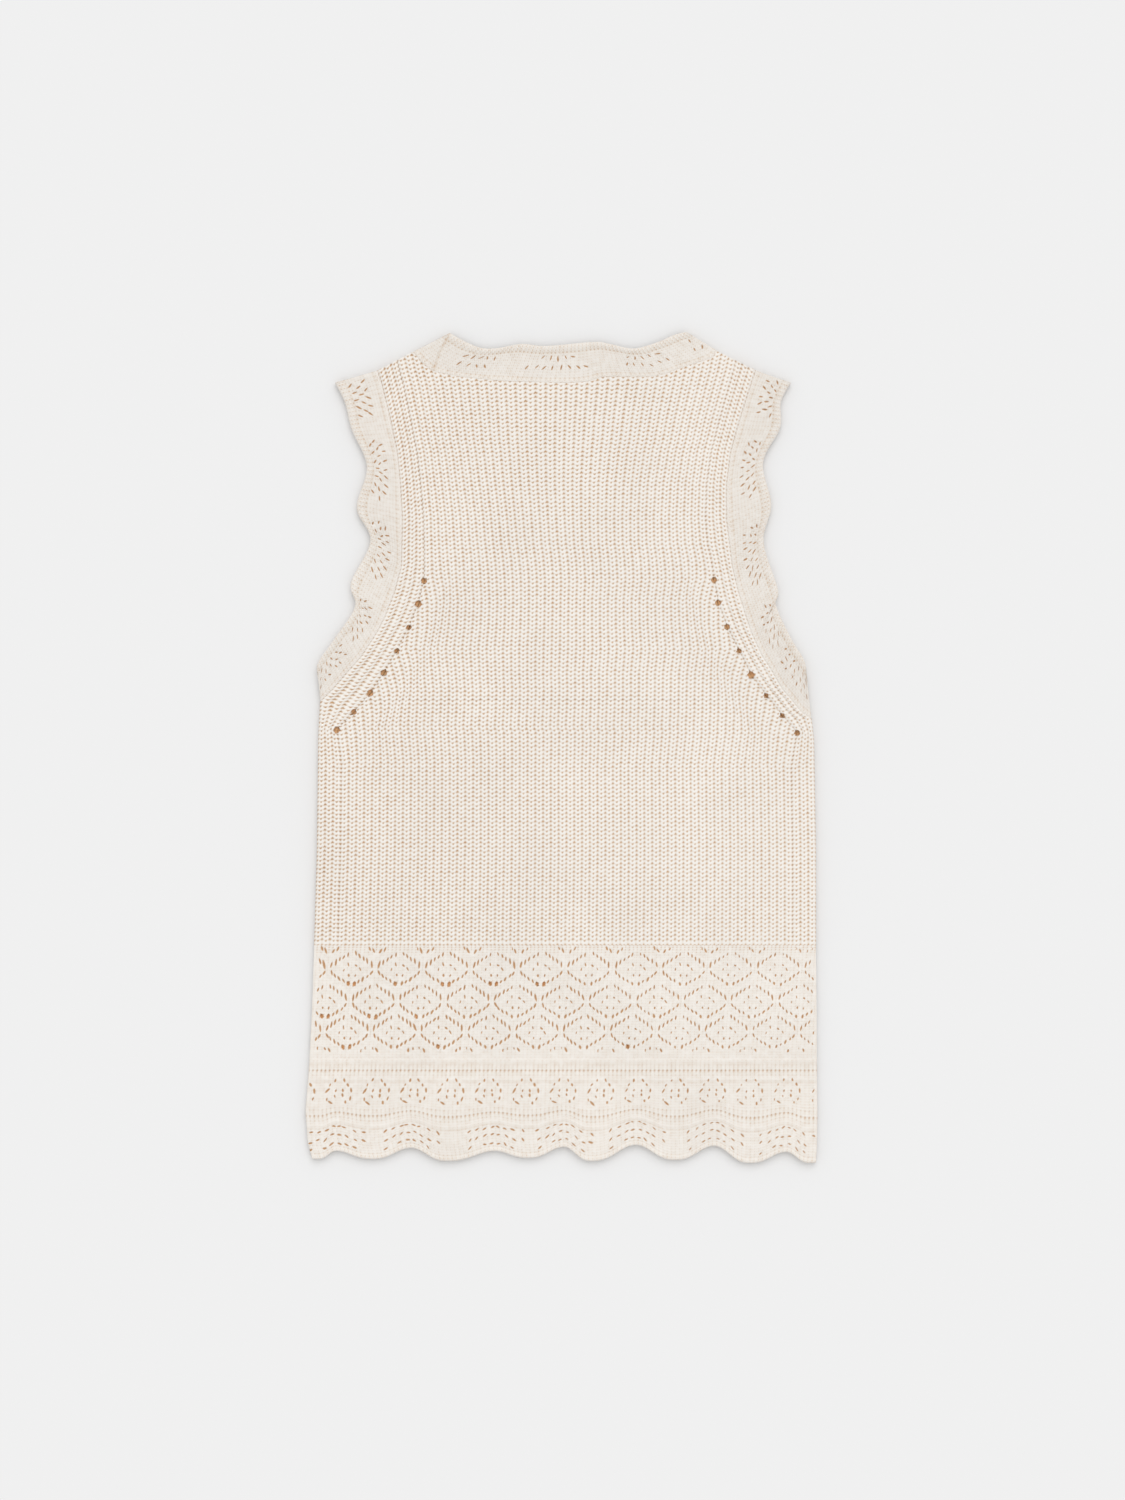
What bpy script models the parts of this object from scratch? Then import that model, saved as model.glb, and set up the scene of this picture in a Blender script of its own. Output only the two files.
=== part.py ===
"""A sleeveless pointelle knit vest, laid flat with its back upwards. Units are metres, +Z is up.

The front lies under the back. Each is one knitted panel: a half-fisherman rib body with fashioning
holes along the armholes, and a lace border that ends in a scalloped hem. A scalloped band is linked
round the neck and round each armhole. Each band is built as a back half and a front half.
Sizes below are in millimetres, and heights run up from the line of the hem's tips.
"""
from math import cos, pi, sin

import bmesh
import bpy
from mathutils import Vector

MM = 0.001
LENGTH = 623.25
SEAM_GAP = 0.3

# Walls, as heights over each layer's own underside.
FRONT_WALL = 2.6
FRONT_BAND_WALL = 2.3
BACK_BASE = FRONT_WALL + SEAM_GAP
RIB_VALLEY = 2.0
RIB_RIDGE = 2.8
SIDE_EDGE_WALL = 1.4
LACE_WALL = 1.8
LACE_RIDGE = 2.4
HEM_EDGE_WALL = 1.3

# The rib: a ridge and a valley are one rib, so each rib has two columns of points.
RIBS_PER_SIDE = 32
EDGE_RIBS = 3
TOP_RIBS_PER_SIDE = 21
UPPER_CHEST_SPREAD = 0.18
SPREAD_START = 440.0
SPREAD_FULL = 540.0
EYELET_SIZE = 4.8

# The pointelle diamonds: pairs of leaning holes where four diamonds meet.
DIAMOND_PITCH = 35.55
DIAMOND_HOLE_WIDTH = 2.3
DIAMOND_HOLE_HEIGHT = 4.8
DIAMOND_HOLE_LEAN = 0.7
DIAMOND_HOLE_OFFSET = 2.8
DIAMOND_ROWS = (
    # height, first junction x, junctions
    (101.25, -178.5, 11),
    (124.10, -159.0, 10),
    (148.50, -175.1, 11),
)
LACE_TOP = 163.5

# Side seam, then armhole seam, of the body panels.
BODY_EDGE = (
    # height, left x, right x
    (3.0, -186.0, 190.5),
    (17.0, -190.1, 191.6),
    (40.0, -192.0, 192.0),
    (70.0, -189.4, 191.6),
    (115.0, -187.1, 191.4),
    (160.0, -185.6, 190.9),
    (235.0, -183.4, 190.8),
    (317.0, -182.4, 189.4),
    (333.2, -181.8, 187.6),
    (338.0, -181.5, 180.2),
    (346.5, -181.0, 173.6),
    (355.0, -172.5, 166.1),
    (370.0, -159.4, 157.5),
    (380.0, -150.4, 150.8),
    (397.5, -139.1, 142.9),
    (408.8, -133.1, 139.1),
    (428.0, -125.6, 133.1),
    (447.0, -120.6, 128.6),
    (483.0, -119.6, 124.1),
    (508.0, -121.1, 124.1),
    (532.5, -123.4, 127.1),
    (557.0, -128.6, 133.9),
    (583.0, -134.8, 142.2),
)
SHOULDER_WIDTH = (-138.4, 145.9)

# Shoulder line, back neck seam and shoulder line, from left to right.
TOP_EDGE = (
    # x, height
    (-138.4, 594.00),
    (-111.4, 608.25),
    (-103.1, 598.90),
    (-94.1, 593.25),
    (-73.9, 589.50),
    (-44.6, 586.50),
    (-1.1, 585.00),
    (17.6, 585.75),
    (33.4, 589.50),
    (70.9, 590.25),
    (89.6, 596.25),
    (112.1, 603.75),
    (115.9, 609.20),
    (145.9, 594.20),
)
NECK_CORNERS = (-111.4, 115.9)
FRONT_NECK_DROP = 75.0
FRONT_OPENING_DROP = 65.0
FRONT_NECK_SCALLOPS = 4
FRONT_SCALLOP_DEPTH = 3.6
SCOOP_STEPS = 32

# Fashioning holes: where ribs are lost, three ribs in from the armhole.
EYELETS = (
    # ribs left per side, left height, left x, right height, right x
    (29, 324.75, -168.4, 322.50, 176.6),
    (27, 338.25, -155.6, 335.60, 165.4),
    (25, 352.50, -143.3, 350.60, 153.4),
    (23, 367.60, -133.1, 366.00, 142.1),
    (21, 384.00, -123.4, 384.00, 133.1),
    (20, 401.60, -114.4, 402.00, 124.1),
    (19, 419.25, -107.3, 420.00, 117.4),
    (18, 436.50, -103.1, 437.25, 114.4),
)

# Tips and valleys of the hem's scallops, in turn, starting with a tip.
HEM = (
    # x, height
    (-182.6, 3.00),
    (-169.1, 9.00),
    (-142.1, 3.00),
    (-112.9, 11.25),
    (-85.9, 1.50),
    (-49.9, 9.00),
    (-25.1, 3.75),
    (1.9, 12.00),
    (22.1, 1.50),
    (55.9, 13.50),
    (85.1, 2.25),
    (114.4, 12.75),
    (141.4, 0.00),
    (168.4, 8.25),
    (186.5, 0.00),
)
HEM_STEPS = 4
HEM_MEAN = 6.0

# Outer edges of the bands, through their tips and valleys.
LEFT_ARMHOLE_EDGE = (
    # x, height
    (-169.9, 585.00),
    (-162.4, 570.00),
    (-157.3, 549.75),
    (-146.0, 522.00),
    (-153.6, 491.25),
    (-143.4, 466.50),
    (-158.0, 435.00),
    (-155.0, 417.00),
    (-171.0, 392.25),
    (-182.4, 375.75),
    (-183.2, 368.25),
)
RIGHT_ARMHOLE_EDGE = (
    # x, height
    (172.0, 585.00),
    (164.6, 570.75),
    (164.0, 551.25),
    (151.2, 525.00),
    (157.4, 493.50),
    (151.6, 465.75),
    (162.4, 429.75),
    (160.9, 417.75),
    (172.9, 392.25),
    (181.9, 377.25),
    (183.6, 368.25),
)
NECK_EDGE = (
    # x, height
    (-83.6, 622.50),
    (-71.6, 615.75),
    (-59.6, 611.25),
    (-47.6, 611.25),
    (-29.6, 614.25),
    (-11.6, 612.75),
    (24.4, 615.75),
    (36.4, 614.25),
    (54.4, 610.90),
    (72.4, 615.75),
    (84.4, 621.00),
    (93.4, 623.25),
)
UNDERARM_HEIGHT = {"left": 346.5, "right": 333.2}
BAND_STATIONS = 36
CURVE_PARTS = 8

# Section of a band, from its seam to its rolled edge.
BAND_SECTION = (
    # share of width, wall
    (0.00, 1.5),
    (0.10, 2.3),
    (0.22, 1.9),
    (0.52, 1.9),
    (0.60, 1.7),
    (0.81, 1.8),
    (0.91, 2.6),
    (1.00, 1.2),
)

# Rows of the rib that have no hole, below and above the fashioning.
LOWER_RIB_ROWS = (LACE_TOP, 235.0, 310.0)
UNDERARM_ROW = (346.5, 344.5)
UPPER_RIB_ROWS = (462.0, 490.0, 515.0, 540.0, 560.0, 578.0)
BAND_KEY = 1000
KNIT_COLOUR = (0.80, 0.75, 0.67, 1.0)
PANEL_ROUGHNESS = 0.92
BAND_ROUGHNESS = 0.9


def read_table(table, column, at):
    """Straight-line value of a column at a place in the table's first column."""
    for lower, upper in zip(table, table[1:]):
        if at <= upper[0]:
            share = (at - lower[0]) / (upper[0] - lower[0])
            return lower[column] + share * (upper[column] - lower[column])
    return table[-1][column]


def read_waves(at):
    """Height of the scalloped hem, rounded between its tips and valleys."""
    for lower, upper in zip(HEM, HEM[1:]):
        if at <= upper[0]:
            share = max(0.0, (at - lower[0]) / (upper[0] - lower[0]))
            rounded = (1.0 - cos(pi * share)) / 2.0
            return lower[1] + rounded * (upper[1] - lower[1])
    return HEM[-1][1]


def world(x, height, z):
    """A place on the garment as a point in metres."""
    return Vector((x, height - LENGTH / 2.0, z)) * MM


# ---------------------------------------------------------------- the rib of the back panel


def rib_wall(key):
    """Ridges are odd columns, valleys are even ones, and the outermost column rounds down."""
    if abs(key) == BAND_KEY + 2 * EDGE_RIBS:
        return SIDE_EDGE_WALL
    return RIB_RIDGE if key % 2 else RIB_VALLEY


def rib_columns(ribs, line, edge):
    """Keys and places of one row: the inner ribs between the two fashioning lines, then the
    three ribs that follow each armhole."""
    middle = (line[0] + line[1]) / 2.0
    half = (line[1] - line[0]) / 2.0
    columns = {}
    for key in range(1 - 2 * ribs, 2 * ribs):
        columns[key] = middle + half * key / (2.0 * ribs)
    for side, sign in ((0, -1), (1, 1)):
        for step in range(2 * EDGE_RIBS + 1):
            share = step / (2.0 * EDGE_RIBS)
            columns[sign * (BAND_KEY + step)] = line[side] + share * (edge[side] - line[side])
    return columns


def make_row(columns, heights, edge):
    """Points of a row, from left to right, whose height runs evenly from side to side."""
    row = []
    for key, x in sorted(columns.items(), key=lambda item: item[1]):
        share = (x - edge[0]) / (edge[1] - edge[0])
        height = heights[0] + share * (heights[1] - heights[0])
        name = {-BAND_KEY - 2 * EDGE_RIBS: "left", BAND_KEY + 2 * EDGE_RIBS: "right"}.get(key, key)
        row.append((name, x, height, rib_wall(key)))
    return row


def column_key(step, ribs_per_side):
    """Key of the column that many columns from the middle: the edge ribs count from their line."""
    first_band_step = 2 * (ribs_per_side - EDGE_RIBS)
    if abs(step) < first_band_step:
        return step
    return (1 if step > 0 else -1) * (BAND_KEY + abs(step) - first_band_step)


def even_rib_row(height, ribs_per_side, spread):
    """A row whose ribs are spaced from edge to edge, wider at the middle by the spread."""
    edge = (read_table(BODY_EDGE, 1, height), read_table(BODY_EDGE, 2, height))
    middle = (edge[0] + edge[1]) / 2.0
    half = (edge[1] - edge[0]) / 2.0
    last = 2 * ribs_per_side
    columns = {}
    for step in range(-last, last + 1):
        share = step / last
        place = middle + half * (share + spread * sin(pi * share) / pi)
        columns[column_key(step, ribs_per_side)] = place
    return columns, edge


def eyelet_row(eyelet, offset):
    """A row along the lower or the upper rim of one pair of fashioning holes."""
    ribs, left_height, left_x, right_height, right_x = eyelet
    heights = (left_height + offset, right_height + offset)
    edge = (read_table(BODY_EDGE, 1, heights[0]), read_table(BODY_EDGE, 2, heights[1]))
    columns = rib_columns(ribs, (left_x, right_x), edge)
    for sign, line in ((-1, left_x), (1, right_x)):
        del columns[sign * BAND_KEY]
        columns[sign * (2 * ribs - 1)] = line - sign * EYELET_SIZE / 2.0
        columns[sign * (BAND_KEY + 1)] = line + sign * EYELET_SIZE / 2.0
    return make_row(columns, heights, edge)


def underarm_row():
    """The row at the left underarm corner, between the second and third holes."""
    low, high = EYELETS[1], EYELETS[2]
    ribs = (low[0] + high[0]) // 2
    line = ((low[2] + high[2]) / 2.0, (low[4] + high[4]) / 2.0)
    edge = (read_table(BODY_EDGE, 1, UNDERARM_ROW[0]), read_table(BODY_EDGE, 2, UNDERARM_ROW[1]))
    return make_row(rib_columns(ribs, line, edge), UNDERARM_ROW, edge)


def top_row():
    """The row along the shoulders and the back neck seam, with a column at each neck corner."""
    left, right = SHOULDER_WIDTH
    middle, half = (left + right) / 2.0, (right - left) / 2.0
    last = 2 * TOP_RIBS_PER_SIDE
    steps = list(range(-last, last + 1))
    shares = [step / last for step in steps]
    places = [middle + half * (a + UPPER_CHEST_SPREAD * sin(pi * a) / pi) for a in shares]
    for corner in NECK_CORNERS:
        nearest = min(range(len(places)), key=lambda number: abs(places[number] - corner))
        places[nearest] = corner
    row = []
    for step, x in zip(steps, places):
        key = column_key(step, TOP_RIBS_PER_SIDE)
        name = {-last: "left", last: "right"}.get(step, key)
        row.append((name, x, read_table(TOP_EDGE, 1, x), rib_wall(key)))
    return row


def rib_rows():
    """All rows of the rib, from the lace to the shoulders, and the holes between them."""
    rows = []
    holes = {}
    for height in LOWER_RIB_ROWS:
        columns, edge = even_rib_row(height, RIBS_PER_SIDE, 0.0)
        rows.append(make_row(columns, (height, height), edge))
    for number, eyelet in enumerate(EYELETS):
        if number == 2:
            rows.append(underarm_row())
        rows.append(eyelet_row(eyelet, -EYELET_SIZE / 2.0))
        last_inner = 2 * eyelet[0] - 1
        holes[len(rows) - 1] = ((-BAND_KEY - 1, -last_inner), (last_inner, BAND_KEY + 1))
        rows.append(eyelet_row(eyelet, EYELET_SIZE / 2.0))
    for height in UPPER_RIB_ROWS:
        spread = UPPER_CHEST_SPREAD * (height - SPREAD_START) / (SPREAD_FULL - SPREAD_START)
        columns, edge = even_rib_row(height, TOP_RIBS_PER_SIDE, min(spread, UPPER_CHEST_SPREAD))
        rows.append(make_row(columns, (height, height), edge))
    rows.append(top_row())
    return rows, holes


# ---------------------------------------------------------------- the lace border


def hem_places():
    """Places along the hem: every tip and valley, and a few between them."""
    places = []
    for lower, upper in zip(HEM, HEM[1:]):
        for step in range(HEM_STEPS):
            places.append(lower[0] + (upper[0] - lower[0]) * step / HEM_STEPS)
    places.append(HEM[-1][0])
    return places


def wavy_row(rise, swing, wall):
    """A row of the lace at a mean height, which follows the hem's waves by a share."""
    row = []
    for number, x in enumerate(hem_places()):
        height = HEM_MEAN + rise + swing * (read_waves(x) - HEM_MEAN)
        row.append((("wave", number), x, height, wall))
    ends = []
    for column, near in ((1, row[0]), (2, row[-1])):
        ends.append((read_table(BODY_EDGE, column, near[2]), near[2]))
    edge_wall = min(wall, SIDE_EDGE_WALL)
    first = ("left", ends[0][0], ends[0][1], edge_wall)
    last = ("right", ends[1][0], ends[1][1], edge_wall)
    return [first] + row + [last]


def diamond_rows(number):
    """The two rows along the lower and upper rims of one line of diamond holes."""
    centre, first_x, count = DIAMOND_ROWS[number]
    rows = []
    for rim in (-1, 1):
        height = centre + rim * DIAMOND_HOLE_HEIGHT / 2.0
        row = [("left", read_table(BODY_EDGE, 1, height), height, SIDE_EDGE_WALL)]
        for junction in range(count):
            x = first_x + junction * DIAMOND_PITCH
            for side in (-1, 1):
                hole_x = x + side * (DIAMOND_HOLE_OFFSET + rim * DIAMOND_HOLE_LEAN)
                for rib_side in (-1, 1):
                    place = hole_x + rib_side * DIAMOND_HOLE_WIDTH / 2.0
                    row.append(((number, junction, side, rib_side), place, height, LACE_WALL))
            if junction < count - 1:
                middle = x + DIAMOND_PITCH / 2.0
                row.append(((number, junction), middle, height, LACE_WALL))
        row.append(("right", read_table(BODY_EDGE, 2, height), height, SIDE_EDGE_WALL))
        rows.append(row)
    holes = []
    for junction in range(count):
        for side in (-1, 1):
            holes.append(((number, junction, side, -1), (number, junction, side, 1)))
    return rows, tuple(holes)


def lace_rows():
    """Rows of the lace from the hem up: rolled edge, fans, ridges, rosettes and diamonds."""
    rows = [
        wavy_row(0.0, 1.0, HEM_EDGE_WALL),
        wavy_row(3.5, 1.0, LACE_RIDGE),
        wavy_row(8.0, 0.9, LACE_WALL),
        wavy_row(24.0, 0.35, LACE_WALL),
        wavy_row(27.5, 0.35, LACE_RIDGE),
        wavy_row(33.0, 0.25, LACE_WALL),
        wavy_row(58.0, 0.0, LACE_WALL),
        wavy_row(61.5, 0.0, LACE_RIDGE),
        wavy_row(70.0, 0.0, LACE_RIDGE),
        wavy_row(74.0, 0.0, LACE_WALL),
    ]
    holes = {}
    for number in range(len(DIAMOND_ROWS)):
        pair, pairs_of_keys = diamond_rows(number)
        holes[len(rows)] = pairs_of_keys
        rows.extend(pair)
    return rows, holes


# ---------------------------------------------------------------- solids from rows and outlines


def stitch(mesh, lower, upper, holes):
    """Fill the strip between two rows with triangles, column to column where both have a
    column, and leave the holes open."""
    shared = {entry[0] for entry in lower} & {entry[0] for entry in upper}
    lower_marks = [number for number, entry in enumerate(lower) if entry[0] in shared]
    upper_marks = [number for number, entry in enumerate(upper) if entry[0] in shared]
    spans = zip(lower_marks, lower_marks[1:], upper_marks, upper_marks[1:])
    for low, low_end, high, high_end in spans:
        if (lower[low][0], lower[low_end][0]) in holes:
            continue
        while low < low_end or high < high_end:
            next_low = lower[min(low + 1, low_end)][1]
            next_high = upper[min(high + 1, high_end)][1]
            low_cut = (next_low.co - upper[high][1].co).length
            high_cut = (next_high.co - lower[low][1].co).length
            if high == high_end or (low < low_end and low_cut <= high_cut):
                mesh.faces.new((lower[low][1], next_low, upper[high][1]))
                low += 1
            else:
                mesh.faces.new((lower[low][1], next_high, upper[high][1]))
                high += 1


def surface_from_rows(mesh, rows, holes, base):
    """The upper surface of a piece, as strips between its rows."""
    corners = []
    for row in rows:
        entries = []
        for key, x, height, wall in row:
            entries.append((key, mesh.verts.new(world(x, height, base + wall))))
        corners.append(entries)
    for number, (lower, upper) in enumerate(zip(corners, corners[1:])):
        stitch(mesh, lower, upper, holes.get(number, ()))


def surface_from_loops(mesh, loops, top):
    """A flat upper surface inside an outline, with the other loops as holes."""
    edges = []
    for loop in loops:
        corners = [mesh.verts.new(world(x, height, top)) for x, height in loop]
        for here, there in zip(corners, corners[1:] + corners[:1]):
            edges.append(mesh.edges.new((here, there)))
    bmesh.ops.triangle_fill(mesh, use_beauty=True, edges=edges, normal=(0.0, 0.0, 1.0))


def close_below(mesh, base):
    """Drop a wall from every rim of the surface to a flat underside."""
    rims = [edge for edge in mesh.edges if edge.is_boundary]
    dropped = bmesh.ops.extrude_edge_only(mesh, edges=rims)["geom"]
    for element in dropped:
        if isinstance(element, bmesh.types.BMVert):
            element.co.z = base * MM
    lower_rims = [edge for edge in dropped if isinstance(edge, bmesh.types.BMEdge)]
    lower_rims = [edge for edge in lower_rims if edge.is_boundary]
    bmesh.ops.triangle_fill(mesh, use_beauty=True, edges=lower_rims, normal=(0.0, 0.0, -1.0))


def knit_material(name, roughness):
    """Matt cotton yarn."""
    material = bpy.data.materials.new(name)
    material.use_nodes = True
    shader = material.node_tree.nodes["Principled BSDF"]
    shader.inputs["Base Color"].default_value = KNIT_COLOUR
    shader.inputs["Roughness"].default_value = roughness
    shader.inputs["Metallic"].default_value = 0.0
    return material


def finish_piece(name, mesh, base, roughness):
    """Close a surface into a solid and add it to the scene as a named piece."""
    close_below(mesh, base)
    bmesh.ops.recalc_face_normals(mesh, faces=mesh.faces)
    data = bpy.data.meshes.new(name)
    mesh.to_mesh(data)
    mesh.free()
    data.materials.append(knit_material(name, roughness))
    piece = bpy.data.objects.new(name, data)
    bpy.context.scene.collection.objects.link(piece)
    return piece


# ---------------------------------------------------------------- curves of the bands


def through_points(points, steps):
    """A smooth curve through points, as that many even steps along its length."""
    fine = []
    padded = [points[0]] + list(points) + [points[-1]]
    for before, here, there, after in zip(padded, padded[1:], padded[2:], padded[3:]):
        for part in range(CURVE_PARTS):
            share = part / CURVE_PARTS
            place = []
            for axis in (0, 1):
                start_pull = (there[axis] - before[axis]) / 2.0
                end_pull = (after[axis] - here[axis]) / 2.0
                cubic = 2.0 * (here[axis] - there[axis]) + start_pull + end_pull
                square = 3.0 * (there[axis] - here[axis]) - 2.0 * start_pull - end_pull
                place.append(here[axis] + share * (start_pull + share * (square + share * cubic)))
            fine.append(place)
    fine.append(list(points[-1]))
    return even_steps(fine, steps)


def even_steps(points, steps):
    """A chain of points walked in even steps."""
    walked = [0.0]
    for here, there in zip(points, points[1:]):
        walked.append(walked[-1] + ((there[0] - here[0]) ** 2 + (there[1] - here[1]) ** 2) ** 0.5)
    chain = []
    spot = 0
    for step in range(steps + 1):
        target = walked[-1] * step / steps
        while spot < len(walked) - 2 and walked[spot + 1] < target:
            spot += 1
        share = (target - walked[spot]) / (walked[spot + 1] - walked[spot])
        here, there = points[spot], points[spot + 1]
        chain.append(tuple(a + share * (b - a) for a, b in zip(here, there)))
    return chain


def moved_out(chain, distance):
    """A chain of points moved to its left-hand side by a distance."""
    moved = []
    for number, (x, height) in enumerate(chain):
        before = chain[max(0, number - 1)]
        after = chain[min(len(chain) - 1, number + 1)]
        along = Vector((after[0] - before[0], after[1] - before[1])).normalized()
        moved.append((x - along.y * distance, height + along.x * distance))
    return moved


def band_rows(seam, edge):
    """Rows of a band's upper surface: its seam, and lines that run along it to its edge."""
    even_seam = even_steps(seam, BAND_STATIONS)
    rows = []
    for share, wall in BAND_SECTION:
        if share == 0.0:
            line = seam
        else:
            line = []
            for near, far in zip(even_seam, edge):
                line.append(tuple(a + share * (b - a) for a, b in zip(near, far)))
        row = []
        for number, (x, height) in enumerate(line):
            key = ("seam", number) if share == 0.0 else number
            key = {0: "start", len(line) - 1: "end"}.get(number, key)
            row.append((key, x, height, wall))
        rows.append(row)
    return rows


def build_band(name, seam, edge, back):
    """A back half has the band's full section, and a front half lies flat under it."""
    mesh = bmesh.new()
    if back:
        surface_from_rows(mesh, band_rows(seam, edge), {}, BACK_BASE)
        return finish_piece(name, mesh, BACK_BASE, BAND_ROUGHNESS)
    surface_from_loops(mesh, [list(seam) + list(reversed(edge))], FRONT_BAND_WALL)
    return finish_piece(name, mesh, 0.0, BAND_ROUGHNESS)


# ---------------------------------------------------------------- the vest


def body_rows():
    """Rows and holes of a whole body panel."""
    rows, holes = lace_rows()
    upper_rows, upper_holes = rib_rows()
    for number, keys in upper_holes.items():
        holes[number + len(rows)] = keys
    return rows + upper_rows, holes


def scooped(left, right, drop):
    """A scooped line between two corners, with its lowest stretch broad and nearly level."""
    chain = []
    for step in range(SCOOP_STEPS + 1):
        share = -cos(pi * step / SCOOP_STEPS)
        x = (left[0] + right[0]) / 2.0 + share * (right[0] - left[0]) / 2.0
        corner_height = left[1] + (right[1] - left[1]) * (1.0 + share) / 2.0
        chain.append((x, corner_height - drop * (1.0 - abs(share) ** 3)))
    return chain


def front_neck():
    """The front neck seam from the left corner to the right one."""
    left, right = ((x, read_table(TOP_EDGE, 1, x)) for x in NECK_CORNERS)
    return scooped(left, right, FRONT_NECK_DROP)


def front_opening():
    """The scalloped edge of the front neck band, from the left neck point to the right one."""
    chain = scooped(NECK_EDGE[0], NECK_EDGE[-1], FRONT_OPENING_DROP)
    turns = 2.0 * pi * FRONT_NECK_SCALLOPS / (len(chain) - 1)
    edge = []
    for number, (x, height) in enumerate(chain):
        edge.append((x, height - FRONT_SCALLOP_DEPTH * (1.0 - cos(turns * number)) / 2.0))
    return edge


def hole_loops(rows, holes):
    """Outlines of the cut holes."""
    loops = []
    for number, pairs in holes.items():
        lower = {entry[0]: entry for entry in rows[number]}
        upper = {entry[0]: entry for entry in rows[number + 1]}
        for first, second in pairs:
            corners = (lower[first], lower[second], upper[second], upper[first])
            loops.append([(corner[1], corner[2]) for corner in corners])
    return loops


def front_hole_loops(loops):
    """The front's holes. They lie half a step beside the back's, so that the two layers' holes
    don't meet and the floor doesn't show through the vest."""
    moved = []
    for loop in loops:
        x, height = (sum(axis) / len(loop) for axis in zip(*loop))
        aside, up = DIAMOND_PITCH / 2.0, 0.0
        if height > LACE_TOP:
            height_column, x_column = (1, 2) if x < 0.0 else (3, 4)
            gaps = [abs(eyelet[x_column] - x) for eyelet in EYELETS]
            here = min(gaps.index(min(gaps)), len(EYELETS) - 2)
            aside = (EYELETS[here + 1][x_column] - EYELETS[here][x_column]) / 2.0
            up = (EYELETS[here + 1][height_column] - EYELETS[here][height_column]) / 2.0
        if x + aside < read_table(BODY_EDGE, 2, height) - DIAMOND_HOLE_HEIGHT:
            moved.append([(corner_x + aside, corner_height + up) for corner_x, corner_height in loop])
    return moved


def armhole_seam(rows, side):
    """The armhole edge of a panel, from the shoulder down to the underarm."""
    end = 0 if side == "left" else -1
    chain = [(row[end][1], row[end][2]) for row in rows]
    chain = [place for place in chain if place[1] > UNDERARM_HEIGHT[side] - 0.5]
    return list(reversed(chain))


def build_vest():
    rows, holes = body_rows()

    mesh = bmesh.new()
    surface_from_rows(mesh, rows, holes, BACK_BASE)
    finish_piece("back_panel", mesh, BACK_BASE, PANEL_ROUGHNESS)

    hem = [(entry[1], entry[2]) for entry in rows[0]]
    right_side = [(row[-1][1], row[-1][2]) for row in rows[1:]]
    left_side = [(row[0][1], row[0][2]) for row in rows[1:]]
    neck = list(reversed(front_neck()))
    outline = hem + right_side + neck + list(reversed(left_side))
    mesh = bmesh.new()
    holes_of_front = front_hole_loops(hole_loops(rows, holes))
    surface_from_loops(mesh, [outline] + holes_of_front, FRONT_WALL)
    finish_piece("front_panel", mesh, 0.0, PANEL_ROUGHNESS)

    for side, table, turn in (("left", LEFT_ARMHOLE_EDGE, -1), ("right", RIGHT_ARMHOLE_EDGE, 1)):
        seam = moved_out(armhole_seam(rows, side), turn * SEAM_GAP)
        edge = through_points(table, BAND_STATIONS)
        build_band(side + "_armhole_band_back", seam, edge, True)
        build_band(side + "_armhole_band_front", seam, edge, False)

    corners = NECK_CORNERS
    top = [(entry[1], entry[2]) for entry in rows[-1]]
    back_neck = [place for place in top if corners[0] <= place[0] <= corners[1]]
    neck_seam = moved_out(back_neck, SEAM_GAP)
    build_band("neck_band_back", neck_seam, through_points(NECK_EDGE, BAND_STATIONS), True)

    front_seam = moved_out(front_neck(), SEAM_GAP)
    build_band("neck_band_front", front_seam, front_opening(), False)


for old in list(bpy.data.objects):
    bpy.data.objects.remove(old, do_unlink=True)
build_vest()
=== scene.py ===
from math import pi, radians

import bpy
import numpy as np
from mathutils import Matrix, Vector
from mathutils.geometry import delaunay_2d_cdt


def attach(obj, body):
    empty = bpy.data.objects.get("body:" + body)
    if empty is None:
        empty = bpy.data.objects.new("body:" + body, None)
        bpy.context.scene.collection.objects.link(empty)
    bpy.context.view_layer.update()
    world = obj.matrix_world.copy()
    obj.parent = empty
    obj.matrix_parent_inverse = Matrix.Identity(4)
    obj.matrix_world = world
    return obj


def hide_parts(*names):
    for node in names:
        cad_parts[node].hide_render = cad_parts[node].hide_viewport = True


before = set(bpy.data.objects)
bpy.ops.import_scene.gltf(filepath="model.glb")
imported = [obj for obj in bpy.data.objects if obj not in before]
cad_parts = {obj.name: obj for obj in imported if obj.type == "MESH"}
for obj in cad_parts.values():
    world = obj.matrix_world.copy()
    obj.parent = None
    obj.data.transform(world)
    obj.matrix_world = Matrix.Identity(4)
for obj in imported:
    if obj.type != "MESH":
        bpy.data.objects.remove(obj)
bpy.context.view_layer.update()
bpy.ops.object.select_all(action="DESELECT")


# ---------------------------------------------------------------- floor, light and camera
# A plain pale floor under plain soft studio light. The light comes a little from the neck's side,
# so a soft grey shadow lies under the hem. The camera looks straight down.
FLOOR_COLOUR = (0.80, 0.80, 0.80, 1.0)
FLOOR_ROUGHNESS = 0.9
FLOOR_SIZE = 8.0
FLOOR_HEIGHT = -0.0002
WORLD_COLOUR = (1.0, 1.0, 1.0, 1.0)
WORLD_STRENGTH = 0.86
SUN_STRENGTH = 0.90
SUN_TILT = -36.0
SUN_TURN = 6.0
SUN_SOFTNESS = 50.0
FRAME_HEIGHT = 1.125
FRAME_CENTRE = (0.00075, -0.0019)
FRAME_LEVEL = 0.004
LENS = 85.0
SENSOR = 36.0
VIEW_END = 20.0

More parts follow.
